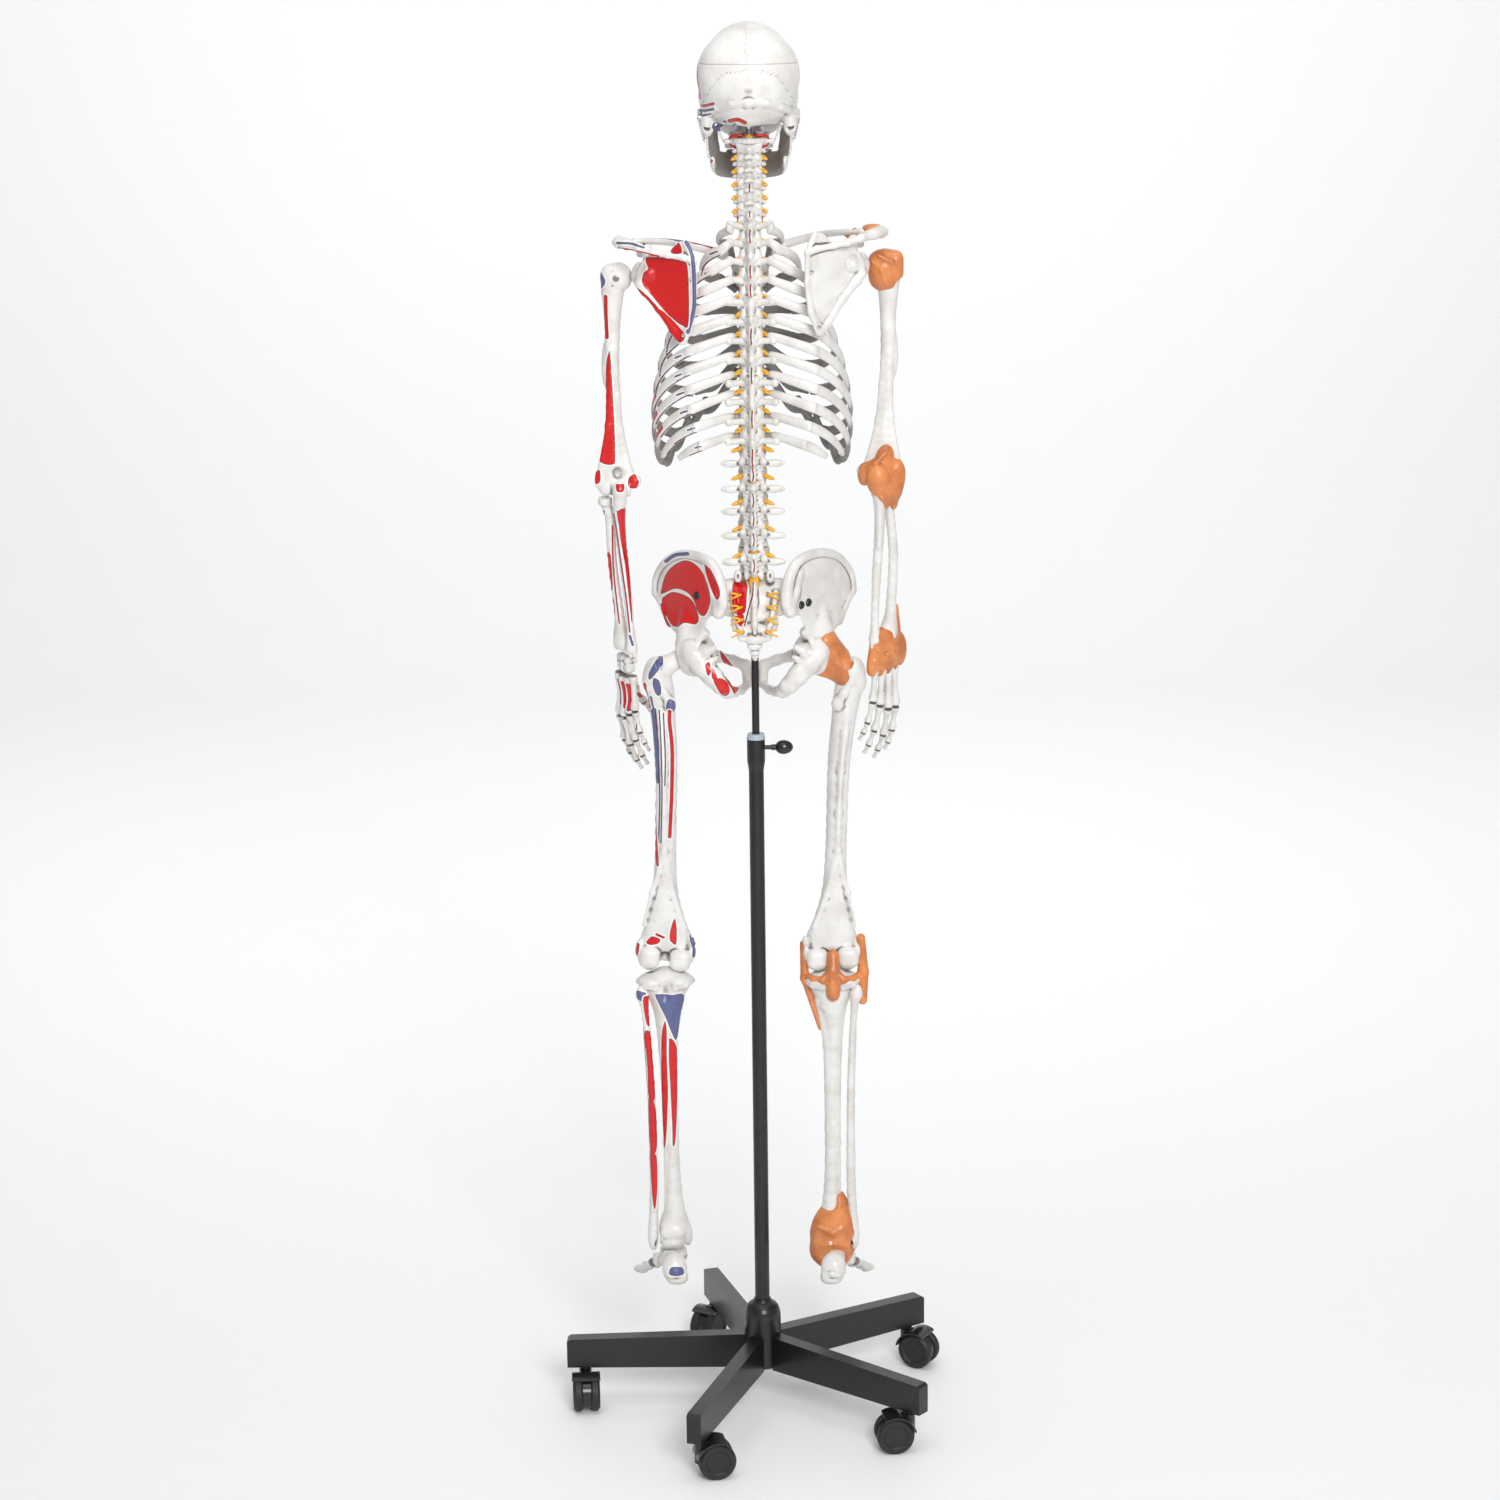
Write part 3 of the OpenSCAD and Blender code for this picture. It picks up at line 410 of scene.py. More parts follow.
def joined(casts):
    """One set of points, faces and values from several."""
    starts = np.cumsum([0] + [len(p) for p, f, values in casts])
    faces = [f + start for (p, f, values), start in zip(casts, starts)]
    merged = {key: np.concatenate([values[key] for p, f, values in casts]) for key in casts[0][2]}
    return np.vstack([p for p, f, values in casts]), np.vstack(faces), merged


def bone(name, body, clay, place=None, paint=None, replaced=()):
    """A bone cast from clay, riding on its body."""
    finish_piece(make_mesh(name, *cast(clay, place, paint)), body, replaced)


def side_bone(side, node, ending, body, clay, place, red=(), blue=()):
    """A bone of one side, in place of its CAD node; only the left one carries the muscle areas."""
    paint = painter(red, blue) if side == LEFT else None
    bone(f"{named(side, node)}_{ending}", body, clay, place, paint, (named(side, node),))


def finish_piece(obj, body, replaced=(), material="bone"):
    """The piece's material, the body that it rides on, and the CAD nodes in its place."""
    obj.data.materials.append(MATERIAL[material])
    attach(obj, body)
    if replaced:
        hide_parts(*replaced)


def hose(points, sizes, up=(0, 0, 1), sides=12, count=None, round_ends=True):
    """Points and quads of a closed tube with an oval section that follows a smooth path."""
    count = count or 5 * len(points)
    c = spline(points, count)
    s = spline([list(z) + [0] for z in sizes], count)[:, :2]
    if round_ends:
        s[0] *= 0.35
        s[-1] *= 0.35
    t = np.gradient(c, axis=0)
    t /= np.linalg.norm(t, axis=1)[:, None]
    x = np.cross(t, np.array(up, float))
    x /= np.linalg.norm(x, axis=1)[:, None]
    y = np.cross(x, t)
    a = 2 * np.pi * np.arange(sides) / sides
    ring = c[:, None] + s[:, :1, None] * np.cos(a)[None, :, None] * x[:, None]
    ring = ring + s[:, 1:, None] * np.sin(a)[None, :, None] * y[:, None]
    points = ring.reshape(-1, 3)
    i, k = np.meshgrid(np.arange(count - 1), np.arange(sides), indexing="ij")
    a0, b0 = i * sides + k, i * sides + (k + 1) % sides
    quads = np.stack([a0, b0, b0 + sides, a0 + sides], -1).reshape(-1, 4)
    j = np.arange(sides // 2 - 1)
    cap = np.stack([j, j + 1, sides - 2 - j, sides - 1 - j], -1)
    return points, np.vstack([quads[:, ::-1], cap, (cap + (count - 1) * sides)[:, ::-1]])


def hoses(name, body, tubes, replaced=(), material="bone", slot="bone", paint=None, mirror=False,
          ends_dark=0.0, place=None, **shape):
    """One piece made of several tubes, each (points, sizes)."""
    points, faces, shade, start = [], [], [], 0
    for path, sizes in tubes:
        p, f = hose(path, sizes, **shape)
        points.append(p)
        along = np.linspace(0, 1, len(p))
        # Painted shade with the wash: each tube is darker towards both ends, where the wired bones meet
        shade.append(-ends_dark * np.clip(1 - 9 * np.minimum(along, 1 - along), 0, 1))
        faces.append(f + start)
        start += len(p)
    points, faces = np.vstack(points), np.vstack(faces)
    n = normals(points, faces)
    red, blue, ink_and_shade = paint(points, n) if paint else [np.full(len(points), FAR)] * 3
    values = {"red": red, "blue": blue, "ink_and_shade": ink_and_shade, "sunk": np.concatenate(shade)}
    if place:
        points = place.out(points)
        mirror = place.mirror
    elif mirror:
        points = points * FLIP
    if mirror:
        faces = faces[:, ::-1]
    finish_piece(make_mesh(name, points, faces, values), body, replaced, material)


# ---------- muscle areas, painted on the skeleton's left ----------

VIEWS = {"back": (0, 2, 1, 1), "front": (0, 2, 1, -1), "outer": (1, 2, 0, 1), "inner": (1, 2, 0, -1),
         "top": (0, 1, 2, 1), "under": (0, 1, 2, -1)}


AWAY_SCALE = 12


def facing(view, p, n, least):
    """Points as the view sees them, and how far past the least turn towards it each face is."""
    u, v, axis, sign = VIEWS[view]
    return p[:, [u, v]], (least - sign * n[:, axis]) * AWAY_SCALE


def patch(outline, view="back", least=0.1):
    """A painted area: an outline drawn in one view, kept to the faces turned that way."""
    o = np.array(outline, float)
    o = spline(np.vstack([o, o[:2]]), 6 * len(o))[:-6]

    def area(p, n):
        q, away = facing(view, p, n, least)
        return np.maximum(outline_distance(o, q), away)

    return area


def stripe(points, width, view="back", least=0.0):
    """A painted line of one width, drawn in one view."""
    o = spline(points, 4 * len(points))

    def area(p, n):
        q, away = facing(view, p, n, least)
        best = np.full(len(p), 1e9)
        for i in range(len(o) - 1):
            e = o[i + 1] - o[i]
            t = np.clip((q - o[i]) @ e / (e @ e), 0, 1)
            best = np.minimum(best, np.linalg.norm(q - o[i] - t[:, None] * e, axis=1))
        return np.maximum(best - width / 2, away)

    return area


def painter(red=(), blue=(), ink_and_shade=()):
    """The distance of each point from the nearest red, blue and dark area; the dark areas are suture lines
    and painted shade.
    """
    def paint(p, n):
        far = np.full(len(p), FAR)
        return [np.min([far] + [f(p, n) for f in group], axis=0) for group in (red, blue, ink_and_shade)]

    return paint


# ---------- materials ----------

MATERIAL = {}


class Nodes:
    def __init__(self, name):
        self.material = bpy.data.materials.new(name)
        self.material.use_nodes = True
        self.tree = self.material.node_tree
        self.shader = self.tree.nodes["Principled BSDF"]
        MATERIAL[name] = self.material

    def add(self, kind, **settings):
        node = self.tree.nodes.new(kind)
        for key, value in settings.items():
            setattr(node, key, value)
        return node

    def wire(self, source, target):
        self.tree.links.new(source, target)

    def put(self, socket, value):
        if isinstance(value, bpy.types.NodeSocket):
            self.wire(value, socket)
        else:
            socket.default_value = value

    def maths(self, kind, a, b):
        node = self.add("ShaderNodeMath", operation=kind)
        self.put(node.inputs[0], a)
        self.put(node.inputs[1], b)
        return node.outputs[0]

    def ramp(self, value, low, high, at_low=0.0, at_high=1.0):
        node = self.add("ShaderNodeMapRange", interpolation_type="SMOOTHSTEP")
        for k, v in enumerate((value, low, high, at_low, at_high)):
            self.put(node.inputs[k], v)
        return node.outputs[0]

    def blend(self, factor, a, b):
        node = self.add("ShaderNodeMix", data_type="RGBA")
        self.put(node.inputs[0], factor)
        self.put(node.inputs[6], a)
        self.put(node.inputs[7], b)
        return node.outputs[2]

    def noise(self, scale, detail, roughness=0.5):
        place = self.add("ShaderNodeTexCoord")
        node = self.add("ShaderNodeTexNoise")
        node.inputs["Scale"].default_value = scale
        node.inputs["Detail"].default_value = detail
        node.inputs["Roughness"].default_value = roughness
        self.wire(place.outputs["Object"], node.inputs["Vector"])
        return node.outputs["Fac"]

    def value(self, name):
        return self.add("ShaderNodeAttribute", attribute_name=name).outputs["Fac"]

    def bump(self, height, strength, distance):
        node = self.add("ShaderNodeBump")
        node.inputs["Strength"].default_value = strength
        node.inputs["Distance"].default_value = distance
        self.wire(height, node.inputs["Height"])
        self.wire(node.outputs[0], self.shader.inputs["Normal"])

    def surface(self, colour, roughness, metallic=0.0, coat=0.0):
        self.put(self.shader.inputs["Base Color"], colour)
        self.put(self.shader.inputs["Roughness"], roughness)
        self.shader.inputs["Metallic"].default_value = metallic
        self.shader.inputs["Coat Weight"].default_value = coat
        self.shader.inputs["Coat Roughness"].default_value = 0.12


IVORY = (0.76, 0.745, 0.72, 1)
IVORY_WARM = (0.66, 0.635, 0.595, 1)
# Dark brown for the hollows: the cast's wash together with painted shade
WASH_AND_SHADE = (0.1, 0.08, 0.065, 1)
# Dark colour for the suture lines and for painted shade on inner faces
INK_AND_SHADE = (0.09, 0.06, 0.045, 1)
PAINT_RED = (0.6, 0.006, 0.006, 1)
PAINT_BLUE = (0.1, 0.115, 0.26, 1)
PAINT_LINE = (0.07, 0.015, 0.02, 1)
PAINT_WHITE = (0.8, 0.79, 0.77, 1)


def bone_material():
    """Cast resin: darker in the crevices, partly the cast's wash and partly painted shade, with the painted
    areas' white margin, dark line and colour, and one dark colour for the suture lines and for painted shade
    on inner faces.
    """
    m = Nodes("bone")
    tone = m.ramp(m.noise(38, 4), 0.35, 0.7)
    colour = m.blend(tone, IVORY, IVORY_WARM)
    # Painted shade together with the cast's brown wash: the more sunken a place, the darker it is
    crevice = m.ramp(m.value("sunk"), -0.05, -0.6)
    colour = m.blend(m.maths("MULTIPLY", crevice, 0.9), colour, WASH_AND_SHADE)
    for key, paint in (("blue", PAINT_BLUE), ("red", PAINT_RED)):
        d = m.maths("ADD", m.value(key), m.maths("MULTIPLY", m.maths("SUBTRACT", m.noise(260, 2), 0.5),
                                                 0.5))
        colour = m.blend(m.ramp(d, 2.1, 1.8), colour, PAINT_WHITE)
        colour = m.blend(m.ramp(d, 0.3, 0.05), colour, PAINT_LINE)
        colour = m.blend(m.ramp(d, -0.3, -0.5), colour, paint)
    # One dark colour for the suture lines and for painted shade on the jaw's and front ribs' inner faces
    colour = m.blend(m.maths("MULTIPLY", m.ramp(m.value("ink_and_shade"), 0.75, 0.25), 0.75), colour, INK_AND_SHADE)
    m.surface(colour, m.ramp(m.noise(90, 3), 0.3, 0.8, 0.3, 0.42), coat=0.12)
    relief = m.maths("ADD", m.noise(520, 3, 0.6), m.maths("MULTIPLY", m.noise(120, 4), 1.6))
    m.bump(relief, 0.22, 0.0012)


def plain_material(name, colour, roughness, metallic=0.0, coat=0.0, grain=300, strength=0.15,
                   depth=0.0005,
                   second=None):
    """One finish with a fine grain, which wanders between its colour and a second one."""
    m = Nodes(name)
    shade = m.blend(m.ramp(m.noise(grain / 4, 3), 0.3, 0.7), colour, second or colour)
    m.surface(shade, roughness, metallic, coat)
    m.bump(m.noise(grain, 4), strength, depth)


bone_material()
plain_material("powder coat", (0.004, 0.004, 0.005, 1), 0.36, coat=0.15, grain=1800, strength=0.08,
               depth=0.0002,
               second=(0.007, 0.007, 0.009, 1))
plain_material("rod steel", (0.006, 0.006, 0.007, 1), 0.26, coat=0.25, grain=900, strength=0.04,
               depth=0.0002)
plain_material("collar", (0.36, 0.44, 0.52, 1), 0.4, grain=800, second=(0.4, 0.48, 0.56, 1))
plain_material("moulded black", (0.008, 0.008, 0.009, 1), 0.28, coat=0.25, grain=1500, strength=0.1,
               depth=0.0002)
plain_material("tread", (0.01, 0.01, 0.011, 1), 0.55, grain=1500, second=(0.016, 0.016, 0.017, 1))
plain_material("steel", (0.42, 0.42, 0.44, 1), 0.3, metallic=1.0, grain=700, second=(0.3, 0.3, 0.32, 1))
plain_material("dark bolt", (0.1, 0.1, 0.1, 1), 0.35, metallic=0.9, grain=700,
               second=(0.05, 0.05, 0.05, 1))
plain_material("disc", (0.62, 0.55, 0.42, 1), 0.5, second=(0.5, 0.42, 0.3, 1))
plain_material("nerve", (0.85, 0.44, 0.02, 1), 0.38, coat=0.1, grain=200, second=(0.82, 0.4, 0.012, 1))
plain_material("cartilage", (0.17, 0.165, 0.155, 1), 0.42, grain=120, second=(0.25, 0.245, 0.235, 1))
plain_material("artery", (0.5, 0.015, 0.012, 1), 0.35, coat=0.2)
plain_material("ligament", (0.72, 0.255, 0.08, 1), 0.4, coat=0.15, grain=160, strength=0.5, depth=0.0012,
               second=(0.5, 0.155, 0.045, 1))
plain_material("wire", (0.55, 0.55, 0.56, 1), 0.3, metallic=1.0)


# ---------- places on the limbs ----------


def at_joint(side, name, axes):
    """A joint as a bone's own frame; the right one is drawn as a left one and mirrored."""
    p = joint_at(named(side, name))
    return Place(p * FLIP if side == RIGHT else p, axes, side == RIGHT)


def at_hip(side):
    return at_joint(side, "hip", turn((0, 1, 0), -THIGH_LEAN[side]))


def shank_axes(side):
    return (turn((0, 1, 0), -THIGH_LEAN[side]) @ turn((1, 0, 0), KNEE_BEND)
            @ turn((0, 1, 0), THIGH_LEAN[side] - SHANK_LEAN[side]))


def at_knee(side):
    return at_joint(side, "knee", shank_axes(side))


def at_ankle(side):
    return at_joint(side, "ankle", shank_axes(side) @ turn((1, 0, 0),
                                                           FOOT_DROP) @ turn((0, 0, 1), FOOT_TURN))


def at_shoulder(side):
    return at_joint(side, "arm_swing", turn((0, 1, 0), -ARM_LEAN[side]))


def forearm_axes(side):
    return (turn((0, 1, 0), -ARM_LEAN[side]) @ turn((1, 0, 0), -ELBOW_BEND)
            @ turn((0, 1, 0), ARM_LEAN[side] - FOREARM_LEAN[side]))


def at_elbow(side):
    return at_joint(side, "elbow", forearm_axes(side))


def at_wrist(side):
    return at_joint(side, "wrist", forearm_axes(side) @ turn((0, 0, 1), -HAND_TURN[side]))


# ---------- legs ----------

THIGH = 418.0
SHANK = 392.0


def femur(side):
    c = Clay((-46, -36, -446), (78, 36, 30))
    c.put(ball((0, 0, 0), 23.5), 0)
    add_limb(c, [(6, 0, -2), (20, 0, -9), (34, 1, -18), (46, 4, -26)],
             [(14, 15), (12, 13.5), (13, 14.5), (17, 19)], blend=2)
    c.put(egg((51, 7, -24), (10, 15, 16)), 6)
    c.put(egg((54, 3, -40), (11, 14, 17)), 6)
    c.put(egg((47, 18, -18), (8, 7, 11)), 5)
    ridge(c, [(49, 18, -20), (43, 17, -38), (34, 16, -54), (25, 14, -66)], [6, 5, 5, 6], 5)
    ridge(c, [(53, -8, -28), (43, -11, -44), (31, -11, -60)], [5, 4.5, 3], 6)
    c.put(egg((25, 12, -69), (8, 8.5, 9)), 6)
    add_limb(c, [(44, 3, -38), (37, 0, -66), (31, -3, -100), (26, -6, -130), (21, -9, -170),
                 (16, -9, -230),
                 (12, -8, -280), (8, -7, -330), (3, -5, -375), (0, -3, -398)],
             [(18, 17), (17, 15), (15.2, 14.5), (14.8, 14), (14.2, 13.8), (13.8, 13.8), (14, 14.2),
              (17, 15),
              (27, 15), (35, 15.5)], blend=3, count=28)
    ridge(c, [(38, 13, -78), (33, 12, -110), (25, 8, -160), (19, 6.5, -220), (15, 6, -270)],
          [1, 2.8, 2.8, 2.4, 1.6], 6)
    ridge(c, [(15, 5.4, -270), (26, 4, -330), (33, 3, -376)], [1.6, 2, 1.4], 6)
    ridge(c, [(15, 5.4, -270), (-4, 4.5, -330), (-23, 3, -374)], [1.6, 2, 1.4], 6)
    for s in (-1, 1):
        c.put(egg((s * 20.5, 0, -THIGH), (14.5, 20, 20)), 5)
        c.put(slab((s * 20.5, 9, -THIGH), (14.6, 11.2, 14.6), 10), 2)
        c.put(egg((s * 35, 2, -409), (6, 10, 12)), 5)
        c.cut(egg((s * 20, 26, -395), (13, 9, 6)), 3)
    c.put(egg((0, -9, -409), (30, 13, 17)), 5)
    c.put(egg((-35, 8, -392), (4.5, 5, 7)), 5)
    c.cut(slab((0, 20, -428), (6.5, 22, 19), 5), 2)
    c.cut(egg((0, -26, -410), (7, 8, 24)), 8)
    c.cut(egg((0, 24, -386), (20, 9, 14)), 6)
    c.cut(ball((-24, 5, 2), 3.2), 2)
    c.cut(egg((44, 20, -14), (5, 5, 8)), 3)
    red = (stripe([(61, -44), (58, -58), (52, -76)], 3.6),
           stripe([(25, -76), (24, -92), (17, -130), (12, -190), (9, -250)], 4.4, "back", -0.3),
           stripe([(44, -150), (36, -190), (30, -240), (22, -290)], 4, "back", -0.4),
           patch([(-5, -392), (-13, -396), (-12, -376), (-8, -362), (-4, -378)], "back", -0.3),
           patch([(27, -398), (20, -389), (9, -391), (11, -397), (20, -400)], "back", -0.4),
           stripe([(14, -385), (4, -388)], 3, "back", -0.3),
           stripe([(37, -402), (38, -416)], 3.4, "back", -0.5),
           patch([(10, -30), (26, -46), (50, -66), (46, -120), (38, -230), (30, -300), (14, -320),
                  (6, -230),
                  (16, -130)], "front", 0.35))
    blue = (stripe([(-33, -386), (-38, -398), (-39, -410)], 5, "back", -0.5),
            patch([(42, -6), (50, -10), (57, -28), (55, -36), (47, -24), (40, -14)], "back", -0.1),
            patch([(44, -34), (50, -33), (50, -44), (44, -56), (39, -54), (40, -42)]),
            patch([(20, -62), (28, -60), (30, -72), (25, -80), (18, -76)]),
            stripe([(52, -62), (45, -90), (40, -120), (36, -150), (33, -178)], 5, "back", -0.2),
            stripe([(44, -76), (38, -110), (33, -150), (27, -200), (23, -260)], 1.6),
            stripe([(39, -76), (34, -110), (29, -150), (24, -200), (20, -260)], 1.4),
            stripe([(33, -80), (29, -110), (25, -140), (22, -180)], 1.4))
    side_bone(side, "femur", "bone", named(side, "thigh"), c, at_hip(side), red, blue)
    steel_pin(named(side, "femur_pin"), named(side, "thigh"), at_hip(side), (-32, 0, 0), (-18, 0, 0), 2.9,
              turn((0, 1, 0), THIGH_LEAN[side]))


def steel_pin(name, body, place, a, b, r, axes):
    """A turned pin with slightly rounded ends between two places."""
    a, b = axes @ np.array(a, float), axes @ np.array(b, float)
    n = unit(b - a)
    path = [a, a + n * 0.5, mix(a, b, 0.5), b - n * 0.5, b]
    p, f = hose(path, [(r * 0.8, r * 0.8), (r, r), (r, r), (r, r), (r * 0.8, r * 0.8)], up=side_of(n),
                sides=24,
                count=21, round_ends=False)
    f = f[:, ::-1] if place.mirror else f
    finish_piece(make_mesh(name, place.out(p), f), body, (), "steel")


def side_of(n):
    """A direction that isn't along n."""
    return (0, 0, 1) if abs(n[2]) < 0.8 else (0, 1, 0)


def patella(side):
    c = Clay((-24, -42, -420), (24, -18, -368))
    c.put(egg((0, -31, -391), (20, 9, 17)), 0)
    c.put(egg((0, -31, -400), (13, 8, 18)), 5)
    c.cut(egg((-9, -19, -392), (10, 4.5, 15)), 2)
    c.cut(egg((10, -19, -392), (10, 4.5, 15)), 2)
    side_bone(side, "patella", "bone", named(side, "thigh"), c, at_hip(side))


def tibia(side):
    c = Clay((-42, -34, -414), (42, 36, -14))
    for s in (-1, 1):
        c.put(egg((s * 18, 6, -31), (19.5, 22, 9.5)), 4)
        ridge(c, [(s * 36, 2, -33), (s * 27, 19.5, -35), (s * 12, 21, -38), (s * 4, 16, -40)],
              [4, 4.2, 4.2, 4], 3)
    c.put(egg((0, -2, -42), (31, 21, 15)), 8)
    add_limb(c, [(0, 2, -34), (0, 3, -58), (0, 2, -92), (-1, 1, -150), (-2, 1, -220), (-3, 1, -300),
                 (-4, 1, -350),
                 (-3, 0, -376), (-3, 0, -390)],
             [(34, 21), (21, 19), (14, 16), (10.6, 13.6), (9.2, 12), (9.2, 11.4), (12.5, 13), (19, 16),
              (20, 17)],
             blend=3, count=26)
    c.put(egg((0, -17, -60), (9, 9, 15)), 8)
    ridge(c, [(0, -21, -70), (2, -17, -120), (2, -13, -200), (-2, -10, -280), (-5, -7, -345)],
          [4, 3.2, 2.8, 2.2, 0.6], 7)
    ridge(c, [(-20, 8, -60), (-9, 8, -120), (-7.5, 6, -240), (-8, 3, -345)], [4, 3, 2.4, 0.6], 7)
    ridge(c, [(12, 6, -66), (7, 8, -130), (6, 6, -260), (8, 3, -350)], [1, 2.8, 2.4, 0.6], 6)
    ridge(c, [(-14, 16, -66), (2, 15, -76), (10, 10, -92)], [1.6, 1.8, 0.6], 6)
    c.put(egg((-21, -1, -394), (6.5, 11, 15)), 6)
    c.put(egg((0, 14, -386), (16, 5, 8)), 6)
    for s in (-1, 1):
        c.cut(egg((s * 21, 0, 0), (18.5, 23, 22.6)), 0.8)
    c.cut(drum((0, 0, -SHANK), (1, 0, 0), 13.8, 14.5, 2), 1)
    c.cut(egg((0, 30, -44), (9, 12, 16)), 6)
    red = (patch([(2, -84), (6, -100), (8, -130), (9, -190), (8, -262), (5, -250), (1, -190), (1, -130),
                  (0, -100)], "back", -0.4),
           patch([(-3, -110), (-2, -140), (-3, -180), (-4, -236), (-4, -262), (-8, -250), (-12, -180),
                  (-13, -126)],
                 "back", -0.5),
           patch([(8, -44), (24, -50), (18, -130), (12, -210), (7, -230), (6, -120)], "front", 0.2),
           stripe([(-16, -66), (-12, -84), (-10, -100)], 4, "front", -0.2))
    blue = (patch([(13, -46), (-4, -48), (-24, -50), (-19, -78), (-13, -112), (-7, -102), (1, -78),
                   (9, -60)]),
            patch([(-3, -56), (7, -56), (6, -70), (0, -76), (-4, -68)], "front", 0.3))
    side_bone(side, "tibia", "bone", named(side, "shank"), c, at_knee(side), red, blue)


def fibula(side):
    c = Clay((10, -14, -424), (46, 32, -32))
    c.put(egg((31, 19, -48), (9, 9, 10)), 0)
    c.put(egg((33, 21, -40), (5, 5, 6)), 4)
    add_limb(c, [(30, 19, -52), (28, 18, -72), (25, 16, -120), (22.5, 14, -190), (22, 12, -250),
                 (22.5, 8, -320),
                 (25, 4, -360), (26.5, 4, -388)],
             [(7, 8), (4.6, 5), (4.4, 5.6), (4.6, 6), (5, 6), (5.6, 6), (6, 8), (7, 10.5)], blend=2,
             count=24)
    c.put(egg((26.5, 4, -398), (7, 10.5, 15)), 4)
    ridge(c, [(29, 14, -100), (26, 12, -190), (26, 9, -280), (27, 3, -350)], [2, 2.2, 2.2, 2], 4)
    c.cut(egg((19, 10, -402), (6, 6, 7)), 2)
    red = (patch([(22, -48), (29, -48), (30, -60), (27, -84), (23, -90), (20, -70)], "back", -0.2),
           patch([(33, -70), (35, -66), (31, -110), (28, -120)], "back", -0.4),
           patch([(22, -98), (29, -100), (27, -150), (27, -188), (19, -194), (18, -150)], "back", -0.4),
           patch([(20, -198), (27, -193), (27, -262), (19, -268), (17, -230)], "back", -0.4),
           patch([(19, -274), (27, -268), (26, -330), (23, -352), (19, -320)], "back", -0.4),
           patch([(8, -70), (18, -70), (16, -150), (10, -200), (4, -150)], "outer", 0.2))
    blue = (patch([(28, -42), (38, -40), (38, -50), (31, -54), (26, -48)], "back", -0.4),)
    side_bone(side, "fibula", "bone", named(side, "shank"), c, at_knee(side), red, blue)


# ---------- the pelvis ----------

HIP_CENTRE = (80.0, -15.0, 1058.0)
SOCKET_R = 24.6


def wing_depth(x, z):
    """How far back the ilium's blade lies."""
    t = np.clip((x - 42) / 88, 0, 1)
    return 50 - 118 * t + 7 * np.sin(np.pi * t) * np.clip((z - 1080) / 110, 0, 1)


def wing_thickness(x, z):
    """Half the ilium's thickness: thin in the middle, thick towards the socket and the sacrum."""
    return 2.6 + 5.5 * np.clip((1112 - z) / 34, 0, 1) + 3.5 * np.clip((60 - x) / 16, 0, 1)


